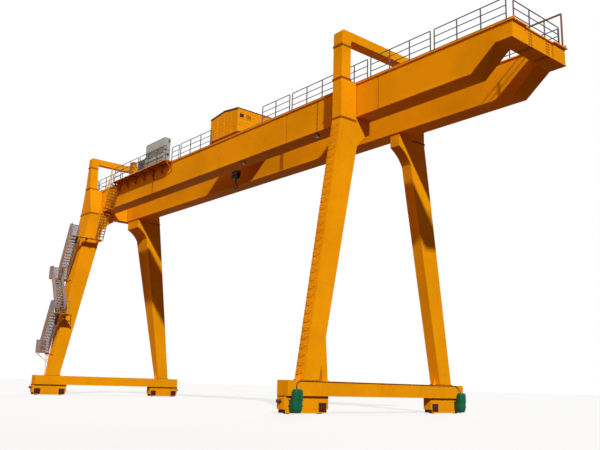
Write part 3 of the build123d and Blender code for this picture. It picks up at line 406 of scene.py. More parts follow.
for side, x_foot in X_FEET.items():
    for sign, hand in ((-1, "near"), (1, "far")):
        for place, wheel_y in WHEEL_PLACES.items():
            name = f"{side}_{hand}_{place}_wheel"
            centre = (x_foot, sign * wheel_y, AXLE_HEIGHT)
            round_wheel = turned(centre, (1, 0, 0), (0, 0, 1), wheel_profile, sides=48)
            boss = np.array(centre) + BOSS_SPREAD + (WHEEL_WEB, 0, 0)
            bosses = bars(boss, (BOSS_HEIGHT, 0, 0), (0, 0, 1), BOSS_RADIUS, sides=12)
            piece(f"{name}_forging", [round_wheel, bosses], wheel_steel, name, [name])


# Travel drives: cast gearboxes that taper downward, bolted to the bogies, each with a motor that stands
# upright under a rounded hood with pressed rings. All are in green machine paint.
def rounded_plan(half_x, half_y, points=40):
    """A rounded rectangle: each coordinate is a half size times the signed square root of cos or sin."""
    turn = 2 * np.pi * np.arange(points) / points
    wave = np.stack([np.cos(turn), np.sin(turn)], axis=1)
    return np.sign(wave) * np.sqrt(np.abs(wave)) * (half_x, half_y)


def rounded_case(middle, plan, profile):
    """A case that follows a plan: at each level of the profile the plan is scaled by its share."""
    levels, shares = np.asarray(profile, dtype=float).T
    flat = np.asarray(middle)[:, None, None] + shares[:, None, None] * plan
    lift = np.broadcast_to(levels[None, :, None, None], (*flat.shape[:3], 1))
    return skin(np.concatenate([flat, lift], axis=3))


DRIVE_GREEN = (0.004, 0.110, 0.048)
DRIVE_GRIME = (0.010, 0.040, 0.022)
drive_paint = painted_steel("drive_green", DRIVE_GREEN, DRIVE_GRIME, roughness=0.40, shine=0.15)
DRIVE_Y = 3.080
CASE_HALF_X, CASE_HALF_Y = 0.130, 0.140
HOOD_SIDE, HOOD_HALF_X, HOOD_HALF_Y = 0.305, 0.094, 0.128
CASE = [(0.040, 0.66), (0.060, 0.78), (0.100, 0.90), (0.150, 0.96), (0.190, 0.97), (0.190, 1.0),
        (0.212, 1.0), (0.212, 0.97), (0.322, 0.97), (0.322, 1.0), (0.340, 1.0)]
HOOD = [(0.340, 0.96), (0.356, 0.96), (0.360, 1.0), (0.400, 1.0), (0.404, 0.97), (0.412, 0.97),
        (0.416, 1.0), (0.456, 1.0), (0.460, 0.97), (0.468, 0.97), (0.472, 1.0), (0.515, 0.98),
        (0.548, 0.92), (0.570, 0.80), (0.584, 0.60), (0.590, 0.30)]
CASE_BOLTS, CASE_PITCH = np.array((0.112, 0.122)), 0.056
CASE_FLANGES, BOLT_BELOW, BOLT_ABOVE = (0.201, 0.332), 0.018, 0.016
drives = []
for side, x_foot in X_FEET.items():
    outward = 1 if side == "right" else -1
    middle = np.array([(x_foot + outward * (BOGIE_FACE + CASE_HALF_X), sign * DRIVE_Y) for sign in (-1, 1)])
    drives.append(rounded_case(middle, rounded_plan(CASE_HALF_X, CASE_HALF_Y), CASE))
    hoods = np.array([(x_foot + outward * HOOD_SIDE, sign * DRIVE_Y) for sign in (-1, 1)])
    drives.append(rounded_case(hoods, rounded_plan(HOOD_HALF_X, HOOD_HALF_Y), HOOD))
    for place in middle:
        points = rim(place - CASE_BOLTS, place + CASE_BOLTS, CASE_PITCH)
        drives += [upright_bolts(points, flange, BOLT_BELOW, BOLT_ABOVE) for flange in CASE_FLANGES]
piece("drive_castings", drives, drive_paint, replaced=["travel_drives"])

# Buffers: round rubber blocks, waisted behind the face and moulded on a steel plate, which is screwed to
# the outer end of each bogie.
BUFFER_RED = (0.13, 0.045, 0.030)
BUFFER_BLACK = (0.05, 0.03, 0.025)
buffer_rubber = painted_steel("buffer_rubber", BUFFER_RED, BUFFER_BLACK, roughness=0.70, shine=0.2)
BUFFER = [(0.0, 0.045), (0.014, 0.045), (0.015, 0.034), (0.030, 0.038), (0.052, 0.041), (0.075, 0.044),
          (0.100, 0.045), (0.108, 0.041), (0.110, 0.032)]
BUFFER_HEIGHT = 0.300
buffers = [turned((x_foot, sign * BOGIE_OUTER, BUFFER_HEIGHT), (0, sign, 0), (0, 0, 1), BUFFER)
           for x_foot in X_FEET.values() for sign in (-1, 1)]
piece("buffer_blocks", buffers, buffer_rubber, replaced=["buffers"])

# Trolley rails: square bars of rolled steel laid along the girders' top flanges. Pairs of clips, each with
# one stud and nut, hold them down.
RAIL_SIDE, RAIL_HALF = 0.862, 0.0175
GIRDER_TOP = 8.935
CLIP_ENDS, CLIP_PITCH = 10.70, 0.45
CLIP_LENGTH, CLIP_REACH, CLIP_THICK = 0.06, 0.055, 0.018
STUD_SIDE, STUD_HEIGHT = 0.038, 0.012
finish_nodes(wheel_steel, "trolley_rails")
clip_x = np.arange(-CLIP_ENDS, CLIP_ENDS, CLIP_PITCH)
rail_clips = []
for sign in (-1, 1):
    for hand in (-1, 1):
        rail_y = sign * RAIL_SIDE
        near_edge, far_edge = sorted((rail_y + hand * RAIL_HALF, rail_y + hand * CLIP_REACH))
        low = np.array([(x - CLIP_LENGTH / 2, near_edge, GIRDER_TOP) for x in clip_x])
        rail_clips.append(boxes(low, low + (CLIP_LENGTH, far_edge - near_edge, CLIP_THICK)))
        studs = np.array([(x, rail_y + hand * STUD_SIDE) for x in clip_x])
        rail_clips.append(upright_bolts(studs, GIRDER_TOP + CLIP_THICK, 0.0, STUD_HEIGHT))
piece("rail_clips", rail_clips, wheel_steel)

# Trolley frame and rollers: two box trucks joined by cross beams, welded up and left in a red-brown primer.
# They run on four turned steel rollers.
FRAME_RED = (0.22, 0.050, 0.018)
FRAME_DARK = (0.09, 0.025, 0.012)
frame_primer = painted_steel("frame_primer", FRAME_RED, FRAME_DARK, roughness=0.50, shine=0.2)
finish_nodes(frame_primer, "trolley_frame")
ROLLER_PLACES, ROLLER_HEIGHT = (-1.1375, 0.1025), 9.0503
ROLLER = [(-0.040, 0.020), (-0.040, 0.022), (-0.025, 0.022), (-0.025, 0.063), (-0.022, 0.065),
          (0.022, 0.065), (0.025, 0.063), (0.025, 0.030), (0.020, 0.024), (0.020, 0.012)]
rollers = [turned((trolley_x, sign * RAIL_SIDE, ROLLER_HEIGHT), (0, sign, 0), (0, 0, 1), ROLLER)
           for trolley_x in ROLLER_PLACES for sign in (-1, 1)]
piece("trolley_rollers", rollers, wheel_steel, "trolley", ["trolley_wheels"])

# Trolley house: painted sheet laid in level courses on a light frame, with corner trims, a window and an
# upright louvre in each end.
HOUSE_YELLOW = (0.90, 0.355, 0.006)
house_paint = painted_steel("house_paint", HOUSE_YELLOW, STREAK_BROWN, roughness=0.50, shine=0.03)
finish_nodes(house_paint, "trolley_house")
house_low, house_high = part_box("trolley_house")
HOUSE_EAVES = 9.955
COURSE_PITCH, COURSE_LIP = 0.118, 0.012
COURSES = np.arange(house_low.z + 0.12, HOUSE_EAVES - 0.03, COURSE_PITCH)
RIB = 0.006
TRIM, TRIM_PROUD, TRIM_TOP = 0.05, 0.002, HOUSE_EAVES - 0.01
UPRIGHTS = (house_low.x, -0.96, -0.54, -0.12, house_high.x - TRIM)
house_trim = []
for wall_y, hand in ((house_low.y, -1), (house_high.y, 1)):
    edges = np.sort([wall_y, wall_y + hand * RIB])
    low = np.array([(house_low.x, edges[0], course) for course in COURSES])
    house_trim.append(boxes(low, low + (house_high.x - house_low.x, RIB, COURSE_LIP)))
    house_trim.append(boxes([(x, edges[0] - TRIM_PROUD, house_low.z) for x in UPRIGHTS],
                            [(x + TRIM, edges[1] + TRIM_PROUD, TRIM_TOP) for x in UPRIGHTS]))
windows = np.array([-0.880, -0.590])
WINDOW_HALF, SURROUND = 0.085, 0.022
WINDOW_SILL, WINDOW_HEAD = 9.645, 9.785
for wall_x, hand in ((house_low.x, -1), (house_high.x, 1)):
    edges = np.sort([wall_x, wall_x + hand * RIB])
    clear = (COURSES + COURSE_LIP < WINDOW_SILL) | (COURSES > WINDOW_HEAD)
    starts = np.where(clear, house_low.y, windows[1] + WINDOW_HALF)
    house_trim.append(boxes([(edges[0], start, course) for start, course in zip(starts, COURSES)],
                            [(edges[1], house_high.y, course + COURSE_LIP) for course in COURSES]))
    corner_y = (house_low.y, house_high.y - TRIM)
    house_trim.append(boxes([(edges[0] - TRIM_PROUD, y, house_low.z) for y in corner_y],
                            [(edges[1] + TRIM_PROUD, y + TRIM, TRIM_TOP) for y in corner_y]))
    for middle in windows:
        left, right = middle - WINDOW_HALF, middle + WINDOW_HALF
        house_trim.append(boxes([(edges[0], left - SURROUND, WINDOW_SILL - SURROUND),
                                 (edges[0], left - SURROUND, WINDOW_HEAD),
                                 (edges[0], left - SURROUND, WINDOW_SILL),
                                 (edges[0], right, WINDOW_SILL)],
                                [(edges[1], right + SURROUND, WINDOW_SILL),
                                 (edges[1], right + SURROUND, WINDOW_HEAD + SURROUND),
                                 (edges[1], left, WINDOW_HEAD),
                                 (edges[1], right + SURROUND, WINDOW_HEAD)]))
piece("house_trim", house_trim, house_paint, "trolley")

GLASS_BROWN, GLASS_GRIME = (0.030, 0.004, 0.002), (0.050, 0.012, 0.006)
glass, glass_tree = new_tree("window_glass")
grime = noise(glass_tree, Socket.node(glass_tree, "TexCoord", output=3), 14.0, 4.0)
glass_values = {"Base Color": grime.step(0.35, 0.7).mix(GLASS_BROWN, GLASS_GRIME),
                "Roughness": 0.12 + 0.25 * grime, "Specular IOR Level": 0.25}
close_tree(glass_tree, Socket.node(glass_tree, "BsdfPrincipled", {}, glass_values))
PANE_FACE, PANE_BACK = 0.006, 0.011
SLAT_SIDE, SLAT_HALF, SLAT_PROUD = 0.030, 0.012, 0.002
panes, slats = [], []
for wall_x, hand in ((house_low.x, -1), (house_high.x, 1)):
    edges = np.sort([wall_x - hand * PANE_BACK, wall_x - hand * PANE_FACE])
    panes.append(boxes([(edges[0], middle - WINDOW_HALF, WINDOW_SILL) for middle in windows],
                       [(edges[1], middle + WINDOW_HALF, WINDOW_HEAD) for middle in windows]))
    slat_y = windows[1] + np.array([-SLAT_SIDE, SLAT_SIDE])
    slat_edges = np.sort([wall_x - hand * PANE_FACE, wall_x + hand * SLAT_PROUD])
    slats.append(boxes([(slat_edges[0], y - SLAT_HALF, WINDOW_SILL) for y in slat_y],
                       [(slat_edges[1], y + SLAT_HALF, WINDOW_HEAD) for y in slat_y]))
piece("house_panes", panes, glass, "trolley")
piece("house_louvre_slats", slats, house_paint, "trolley")

# Trolley roof: two slopes of thin sheet joined by standing seams and painted brown, screwed to the house,
# with a round bar along each gable.
ROOF_BROWN = (0.135, 0.050, 0.018)
roof_paint = painted_steel("roof_brown", ROOF_BROWN, FRAME_DARK, roughness=0.50, shine=0.2)
finish_nodes(roof_paint, "trolley_roof")
roof_low, roof_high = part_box("trolley_roof")
ridge_x = (roof_low.x + roof_high.x) / 2
SEAM_INSET, SEAM_LIFT, SEAM_RADIUS, SEAM_COUNT = 0.02, 0.006, 0.010, 9
seam_y = np.linspace(roof_low.y + SEAM_INSET, roof_high.y - SEAM_INSET, SEAM_COUNT)
EAVES_TOP = 9.9683
seams = []
for eaves_x in (roof_low.x, roof_high.x):
    slopes = [((ridge_x, y, roof_high.z + SEAM_LIFT), (eaves_x, y, EAVES_TOP + SEAM_LIFT)) for y in seam_y]
    seams.append(tubes(slopes, (0, 1, 0), SEAM_RADIUS, sides=6))
FASCIA = 0.030
fascia_line = np.array([(roof_low.x + FASCIA, EAVES_TOP - FASCIA), (ridge_x, roof_high.z - FASCIA),
                        (roof_high.x - FASCIA, EAVES_TOP - FASCIA)])
for y_edge in (roof_low.y + FASCIA, roof_high.y - FASCIA):
    boards = np.array([[(x, y_edge, z) for x, z in fascia_line[first:first + 2]] for first in (0, 1)])
    seams.append(tubes(boards, (0, 1, 0), FASCIA, sides=6))
piece("roof_seams", seams, roof_paint, "trolley")

# Hook block: two grooved sheaves on a pin between cheek plates, with a forged hook that hangs from a
# turned shank. Oil and dust have darkened it, and a pale bar across one cheek is a painted highlight.
HOOK_OLIVE = (0.040, 0.030, 0.006)
HOOK_DARK = (0.018, 0.014, 0.010)
hook_steel = painted_steel("hook_steel", HOOK_OLIVE, HOOK_DARK, roughness=0.42, shine=0.4, metal=0.4)
HOOK_X = -1.1275
SHEAVE_Z, SHEAVE_SIDE = 8.133, 0.030
BOWL_Z, BOWL_RADIUS, BOWL_POINTS = 7.615, 0.0875, 40
CHEEK_FACES, HEAD_HALF, SHANK_FOOT = (0.060, 0.095), 0.062, 7.695
cheek = np.array([(-0.150, 8.250), (0.150, 8.250), (0.150, 7.985), (0.075, 7.910), (-0.075, 7.910),
                  (-0.150, 7.985)])
cheek_rings = np.array([[[(HOOK_X + x, y, z) for x, z in cheek] for y in pair]
                        for pair in (np.negative(CHEEK_FACES[::-1]), CHEEK_FACES)])
crosshead = np.array([(-0.075, 7.975), (0.075, 7.975), (0.075, 7.910), (-0.075, 7.910)])
head_rings = np.array([[[(HOOK_X + x, y, z) for x, z in crosshead] for y in (-HEAD_HALF, HEAD_HALF)]])
SHEAVE = [(-0.026, 0.070), (-0.026, 0.104), (-0.020, 0.104), (-0.006, 0.088), (0.006, 0.088),
          (0.020, 0.104), (0.026, 0.104), (0.026, 0.070)]
PIN = [(-0.100, 0.026), (-0.100, 0.030), (0.100, 0.030), (0.100, 0.026)]
SHANK = [(0.0, 0.026), (0.0, 0.030), (0.130, 0.030), (0.135, 0.045), (0.215, 0.045), (0.220, 0.036)]
GIRTH_STATIONS, GIRTHS = (0, 12, 25, 36, 39), (0.026, 0.0275, 0.0275, 0.019, 0.008)
bend = np.radians(np.linspace(90, -205, BOWL_POINTS))
hook_path = np.column_stack([HOOK_X + BOWL_RADIUS * np.cos(bend), 0 * bend,
                             BOWL_Z + BOWL_RADIUS * np.sin(bend)])
hook_girth = np.interp(np.arange(BOWL_POINTS), GIRTH_STATIONS, GIRTHS)
sheave_places = [(HOOK_X, y, SHEAVE_Z) for y in (-SHEAVE_SIDE, SHEAVE_SIDE)]
hook_shapes = [
    skin(cheek_rings), skin(head_rings),
    turned(sheave_places, (0, 1, 0), (0, 0, 1), SHEAVE, sides=36),
    turned((HOOK_X, 0, SHEAVE_Z), (0, 1, 0), (0, 0, 1), PIN, sides=20),
    turned((HOOK_X, 0, SHANK_FOOT), (0, 0, 1), (1, 0, 0), SHANK, sides=24),
    tubes(hook_path[None], (0, 1, 0), hook_girth[:, None, None], sides=12),
]
piece("hook_forging", hook_shapes, hook_steel, "trolley", ["hook_block"])

# Painted highlight: a pale bar across one cheek of the hook block, standing in for light caught on its edge.
HIGHLIGHT_HALF, HIGHLIGHT_Y, HIGHLIGHT_RADIUS, HIGHLIGHT_LEVELS = 0.145, -0.0955, 0.010, (8.080, 8.110)
highlight_edge = [[(HOOK_X + hand * HIGHLIGHT_HALF, HIGHLIGHT_Y, z) for hand, z in zip((-1, 1), HIGHLIGHT_LEVELS)]]
HIGHLIGHT_PALE = (0.85, 0.76, 0.46)
highlight_steel = painted_steel("highlight_steel", HIGHLIGHT_PALE, HOOK_OLIVE, roughness=0.40, shine=0.3)
highlight_bar = tubes(highlight_edge, (0, 1, 0), HIGHLIGHT_RADIUS, sides=6)
piece("hook_painted_highlight", [highlight_bar], highlight_steel, "trolley")

# Hoist ropes: four falls of steel wire rope, each laid up from three strands round a common axis. They hang
# taut from the trolley frame and reeve round the sheaves of the hook block.
ROPE_GREY = (0.070, 0.062, 0.050)
rope_steel = painted_steel("rope_steel", ROPE_GREY, HOOK_DARK, roughness=0.50, shine=0.3, metal=0.3)
ROPE_HEAD, FALL_SIDE = 9.125, 0.112
LAY, LAY_CIRCLE, STRAND = 0.075, 0.0034, 0.0036
rope_z = np.linspace(SHEAVE_Z, ROPE_HEAD, 160)
phase = 2 * np.pi * (rope_z[None] / LAY + np.arange(3)[:, None] / 3)
strands = []
for fall_x in (HOOK_X - FALL_SIDE, HOOK_X + FALL_SIDE):
    for fall_y in (-SHEAVE_SIDE, SHEAVE_SIDE):
        path = np.stack([fall_x + LAY_CIRCLE * np.cos(phase), fall_y + LAY_CIRCLE * np.sin(phase),
                         np.broadcast_to(rope_z, phase.shape)], axis=2)
        strands.append(tubes(path, (1, 0, 0), STRAND, sides=5))
piece("rope_falls", strands, rope_steel, "trolley", ["hoist_ropes"])


# Handrails: galvanised tube bent into hoops, with straight posts and two knee rails welded between, in
# panels that are bolted along the girders' edges. The zinc has dulled to a grey with a mauve cast.
def rail_panels(start, end):
    """Start, end and bays of each panel: three bays a panel with a gap between, laid from the end back."""
    panels, panel_end = [], end
    while panel_end - start > POST_PITCH / 2:
        panel_start = max(start, panel_end - 3 * POST_PITCH)
        panels.append((panel_start, panel_end, max(1, round((panel_end - panel_start) / POST_PITCH))))
        panel_end -= 3 * POST_PITCH + PANEL_GAP
    return panels


def handrail(start, end, origin, along, foot):
    """One run of panels: a hoop of tube with quarter-round corners, posts, knee rails and foot plates."""
    shapes = []
    origin, along = np.asarray(origin, dtype=float), np.asarray(along, dtype=float)
    across = np.cross(along, (0, 0, 1))
    quarter = np.radians(np.linspace(0, 90, 6))
    for panel_start, panel_end, bays in rail_panels(start, end):
        top = RAIL_HEIGHT - TUBE
        left = np.stack([panel_start + BEND * (1 - np.cos(quarter)),
                         top - BEND * (1 - np.sin(quarter))], axis=1)
        right = np.stack([panel_start + panel_end - left[::-1, 0], left[::-1, 1]], axis=1)
        hoop = np.concatenate([[(panel_start, 0.0)], left, right, [(panel_end, 0.0)]])
        posts = panel_start + np.arange(1, bays) * (panel_end - panel_start) / bays
        uprights = np.append(posts, (panel_start, panel_end))
        lines = [((post, 0.0), (post, top - BEND)) for post in uprights]
        knees = [((panel_start, level), (panel_end, level)) for level in KNEE_LEVELS]
        for flat, radius in ((hoop[None], TUBE), (np.array(lines), POST), (np.array(knees), KNEE_TUBE)):
            path = origin + flat[..., :1] * along + (foot + flat[..., 1:]) * np.array([0, 0, 1.0])
            shapes.append(tubes(path, across, radius))
        stands = origin + uprights[:, None] * along + (0, 0, foot)
        shapes.append(boxes(stands - (*FOOT_HALF, 0.0), stands + (*FOOT_HALF, FOOT_THICK)))
    return shapes


POST_PITCH = 0.700
PANEL_GAP = 0.125
RAIL_HEIGHT = 0.605
TUBE, POST, KNEE_TUBE, BEND = 0.0140, 0.0170, 0.0120, 0.022
KNEE_LEVELS = (0.197, 0.394)
FOOT_HALF, FOOT_THICK = (0.020, 0.009), 0.008
RAIL_LINE = 1.110
RAIL_ENDS = 11.1075
RAIL_BREAK = (5.480, 5.605)
END_RAILS = ((-11.2775, -1.0475, 1.0475), (11.150, -0.880, 1.060))
PLATFORM = (-8.2075, -3.7775)
PLATFORM_RAIL, PLATFORM_INSET, PLATFORM_RETURN = -1.463, 0.022, (-1.4005, -1.150)
ACCESS = (-1.1975, 1.8525)
SHORT_PANEL = (-3.950, -3.4225)
ZINC_GREY = (0.105, 0.090, 0.098)
ZINC_STREAK = (0.06, 0.042, 0.038)
zinc = painted_steel("galvanised_tube", ZINC_GREY, ZINC_STREAK, roughness=0.48, shine=0.25, metal=0.2)
near_runs = ((-RAIL_ENDS, PLATFORM[0] - PANEL_GAP), SHORT_PANEL, (SHORT_PANEL[1] + PANEL_GAP, ACCESS[0]),
             (ACCESS[1], RAIL_BREAK[0]), (RAIL_BREAK[1], RAIL_ENDS))
near_shapes = [shape for start, end in near_runs
               for shape in handrail(start, end, (0, -RAIL_LINE, 0), (1, 0, 0), GIRDER_TOP)]
piece("near_handrail_tubes", near_shapes, zinc, replaced=["near_handrail"])
far_shapes = [shape for start, end in ((-RAIL_ENDS, RAIL_BREAK[0]), (RAIL_BREAK[1], RAIL_ENDS))
              for shape in handrail(start, end, (0, RAIL_LINE, 0), (1, 0, 0), GIRDER_TOP)]
piece("far_handrail_tubes", far_shapes, zinc, replaced=["far_handrail"])
end_shapes = [shape for x_rail, start, end in END_RAILS
              for shape in handrail(start, end, (x_rail, 0, 0), (0, 1, 0), GIRDER_TOP)]
piece("end_handrail_tubes", end_shapes, zinc, replaced=["end_handrails"])
platform_run = (PLATFORM[0] + PLATFORM_INSET, PLATFORM[1] - PLATFORM_INSET)
platform_shapes = handrail(*platform_run, (0, PLATFORM_RAIL, 0), (1, 0, 0), GIRDER_TOP)
platform_shapes += handrail(*PLATFORM_RETURN, (platform_run[1], 0, 0), (0, 1, 0), GIRDER_TOP)
piece("platform_handrail_tubes", platform_shapes, zinc, replaced=["platform_handrail"])

# Control cabinets: folded sheet cases, powder coated in a pale grey. The upper case has pressed upright
# ribs, the lower one has plain doors, and a round fan grille sits in the end of each.
CABINET_GREY = (0.42, 0.44, 0.40)
CABINET_STREAK = (0.30, 0.27, 0.20)
cabinet_paint = painted_steel("cabinet_grey", CABINET_GREY, CABINET_STREAK, roughness=0.45, shine=0.2)
finish_nodes(cabinet_paint, "control_cabinets")
case_low, case_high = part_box("control_cabinets")
CASE_JOINT, JOINT_HEIGHT = 9.400, 0.018
PRESS_IN, PRESS_OUT = 0.006, 0.007
RIB_PITCH, RIB_WIDTH = 0.062, 0.030
rib_foot, rib_head = CASE_JOINT + 0.04, case_high.z - 0.045
DOOR_COUNT, DOOR_EDGE, DOOR_GAP = 4, 0.012, 0.008
door_foot, door_head = case_low.z + 0.065, CASE_JOINT - 0.02
HANDLE_X, HANDLE_Z, HANDLE_PROUD = (0.060, 0.045), (9.16, 9.28), 0.012
case_fittings = []
rib_x = np.arange(case_low.x + 0.05, case_high.x - 0.04, RIB_PITCH)
for wall_y, hand in ((case_low.y, -1), (case_high.y, 1)):
    edges = np.sort([wall_y - hand * PRESS_IN, wall_y + hand * PRESS_OUT])
    case_fittings.append(boxes([(x, edges[0], rib_foot) for x in rib_x],
                               [(x + RIB_WIDTH, edges[1], rib_head) for x in rib_x]))
    doors = np.linspace(case_low.x + DOOR_EDGE, case_high.x - DOOR_EDGE, DOOR_COUNT + 1)
    case_fittings.append(boxes([(x + DOOR_GAP, edges[0], door_foot) for x in doors[:-1]],
                               [(x - DOOR_GAP, edges[1], door_head) for x in doors[1:]]))
    case_fittings.append(boxes([(x - HANDLE_X[0], edges[0] - HANDLE_PROUD, HANDLE_Z[0]) for x in doors[1:]],
                               [(x - HANDLE_X[1], edges[1] + HANDLE_PROUD, HANDLE_Z[1]) for x in doors[1:]]))
rib_y = np.arange(case_low.y + 0.035, case_high.y - 0.05, RIB_PITCH)
for wall_x, hand in ((case_low.x, -1), (case_high.x, 1)):
    edges = np.sort([wall_x - hand * PRESS_IN, wall_x + hand * PRESS_OUT])
    case_fittings.append(boxes([(edges[0], y, rib_foot) for y in rib_y],
                               [(edges[1], y + RIB_WIDTH, rib_head) for y in rib_y]))
piece("cabinet_ribs_and_doors", case_fittings, cabinet_paint)

GRILLE_DARK = (0.045, 0.045, 0.045)
grille_paint = painted_steel("grille_dark", GRILLE_DARK, ZINC_STREAK, roughness=0.55, shine=0.2)
JOINT_INSET = 0.002
joint = boxes((case_low.x + JOINT_INSET, case_low.y + JOINT_INSET, CASE_JOINT),
              (case_high.x - JOINT_INSET, case_high.y - JOINT_INSET, CASE_JOINT + JOINT_HEIGHT))
GRILLE = [(0.0, 0.052), (0.010, 0.052), (0.012, 0.046), (0.006, 0.044), (0.006, 0.012), (0.012, 0.010)]
fan_places = np.array([(case_high.x, case_high.y - 0.075, 9.78), (case_high.x, case_high.y - 0.095, 9.24)])
fans = [turned(fan_places, (1, 0, 0), (0, 0, 1), GRILLE, sides=28)]
mirror_fans = fan_places * (0, 1, 1) + (case_low.x, 0, 0)
fans.append(turned(mirror_fans, (-1, 0, 0), (0, 0, 1), GRILLE, sides=28))
piece("cabinet_joint_and_fans", [joint, *fans], grille_paint)

# Platform fittings: a yellow terminal box and a slatted resistor case in zinc. The platform and a cover
# over its duct take painted shade for the shadow under the platform, and its outer edge a painted highlight.
terminal_low = np.array([(-6.820, -1.400, GIRDER_TOP), (-6.835, -1.415, 9.455), (-6.805, -1.406, 9.010)])
terminal_high = np.array([(-6.560, -1.240, 9.460), (-6.545, -1.225, 9.475), (-6.575, -1.400, 9.400)])
piece("terminal_box", [boxes(terminal_low, terminal_high)], yellow_paint)
RESISTOR_POSTS = [(x, y) for x in (-6.210, -5.630) for y in (-1.395, -1.245)]
RESISTOR_TOP, RESISTOR_POST = 9.430, 0.020
SLAT_FOOT, SLAT_TOP, SLAT_PITCH = (-6.200, -1.390, 8.970), 9.420, 0.050
SLAT_SIZE = (0.580, 0.160, 0.032)
case_posts = boxes([(x, y, GIRDER_TOP) for x, y in RESISTOR_POSTS],
                   [(x + RESISTOR_POST, y + RESISTOR_POST, RESISTOR_TOP) for x, y in RESISTOR_POSTS])
slat_low = np.array([(*SLAT_FOOT[:2], z) for z in np.arange(SLAT_FOOT[2], SLAT_TOP, SLAT_PITCH)])
ZINC_MAUVE = (0.27, 0.225, 0.225)
wire_zinc = painted_steel("galvanised_wire", ZINC_MAUVE, ZINC_STREAK, roughness=0.50, shine=0.2, metal=0.1)
case_slats = boxes(slat_low, slat_low + SLAT_SIZE)
piece("resistor_case", [case_slats, case_posts], wire_zinc)
# Painted shade: the platform and its duct cover take the darker shade brown for the shadow under the
# platform.
finish_nodes(shade_brown_paint, "cabinet_platform")
DUCT_X, DUCT_Y = (-5.309, -5.246), (-1.156, -1.115)
DUCT_FOOT, DUCT_DROP = 0.001, 0.031
duct_shade_cover = boxes((DUCT_X[0], DUCT_Y[0], web_low + DUCT_FOOT),
                   (DUCT_X[1], DUCT_Y[1], GIRDER_TOP - DUCT_DROP))
piece("duct_shade_cover", [duct_shade_cover], shade_brown_paint)
# Painted highlight: a pale strip along the top of the platform's outer edge, where light catches the plate.
EDGE_HIGHLIGHT = (0.90, 0.50, 0.22)
edge_highlight_paint = painted_steel("edge_painted_highlight", EDGE_HIGHLIGHT, CRANE_YELLOW, roughness=0.55, shine=0.05)
LIP_Y, LIP_DROP, LIP_RISE = (-1.487, -1.480), 0.026, 0.002
highlight_lip = boxes((PLATFORM[0], LIP_Y[0], GIRDER_TOP - LIP_DROP),
                 (PLATFORM[1], LIP_Y[1], GIRDER_TOP + LIP_RISE))
piece("platform_edge_highlight", [highlight_lip], edge_highlight_paint)

# Stair: folded steel treads, both long edges turned down, welded between raked side plates in a dull coat
# of the frame's yellow. The flights meet on flat plate landings. Each flight has the place and level of its
# foot and of its head, its inner side and its width.
STAIR_WIDTH, UPPER_WIDTH = 0.400, 0.360
SIDE_PLATE = 0.012
FLIGHTS = [(-10.3975, 1.725, -9.6175, 3.300, 2.6940, STAIR_WIDTH),
           (-9.6175, 3.300, -10.3975, 4.870, 2.4522, STAIR_WIDTH),
           (-10.3975, 4.870, -9.6175, 6.620, 2.2110, STAIR_WIDTH),
           (-9.3575, 6.620, -8.8475, 7.890, 1.2000, UPPER_WIDTH),
           (-8.6475, 7.890, -8.2075, 8.935, 1.2000, UPPER_WIDTH)]
TREAD_RISE, TREAD_DEPTH = 0.115, 0.090
TREAD_PLATE, TREAD_EDGE, TREAD_DROP = 0.008, 0.006, 0.030
tread_shapes = []
for x_low, z_low, x_high, z_high, y_inner, width in FLIGHTS:
    steps = round((z_high - z_low) / TREAD_RISE)
    share = np.arange(1, steps)[:, None] / steps
    middle = np.array((x_low, 0, z_low)) + share * np.array((x_high - x_low, 0, z_high - z_low))
    inner, outer = -(y_inner + SIDE_PLATE), -(y_inner + width - SIDE_PLATE)
    tread_shapes.append(boxes(middle + (-TREAD_DEPTH / 2, outer, -TREAD_PLATE),
                              middle + (TREAD_DEPTH / 2, inner, 0.0)))
    for hand in (-1, 1):
        lip = middle + (hand * (TREAD_DEPTH - TREAD_EDGE) / 2, 0, 0)
        tread_shapes.append(boxes(lip + (-TREAD_EDGE / 2, outer, -TREAD_DROP),
                                  lip + (TREAD_EDGE / 2, inner, 0.0)))
finish_nodes(kerb_paint, "stair_stringers")
piece("stair_tread_plates", tread_shapes, kerb_paint, replaced=["stair_treads"])


# Stair guards: galvanised wire welded into tube frames, beside the lower flights and landings, behind the
# treads and across the third flight's head. The two upper flights have open rails of two painted bars.
def wire_panel(start, end, low, high):
    """Wire in a frame: uprights at even shares of the run, and runs at even shares of the height."""
    start, end, rise = np.array(start), np.array(end), np.array([0, 0, 1.0])
    run = end - start
    normal = np.cross(run, rise)
    normal /= np.linalg.norm(normal)
    uprights = max(2, round(float(np.linalg.norm(run[:2])) / WIRE_PITCH))
    feet = start + np.arange(1, uprights)[:, None] / uprights * run
    rows = max(2, round((high - low) / WIRE_PITCH))
    levels = (low + np.arange(1, rows)[:, None] / rows * (high - low)) * rise
    edge = np.array([(start + low * rise, end + low * rise), (start + high * rise, end + high * rise),
                     (start + low * rise, start + high * rise), (end + low * rise, end + high * rise)])
    return [tubes(np.stack([feet + low * rise, feet + high * rise], axis=1), normal, WIRE, sides=4),
            tubes(np.stack([start + levels, end + levels], axis=1), normal, WIRE, sides=4),
            tubes(edge, normal, KNEE_TUBE, sides=6)]


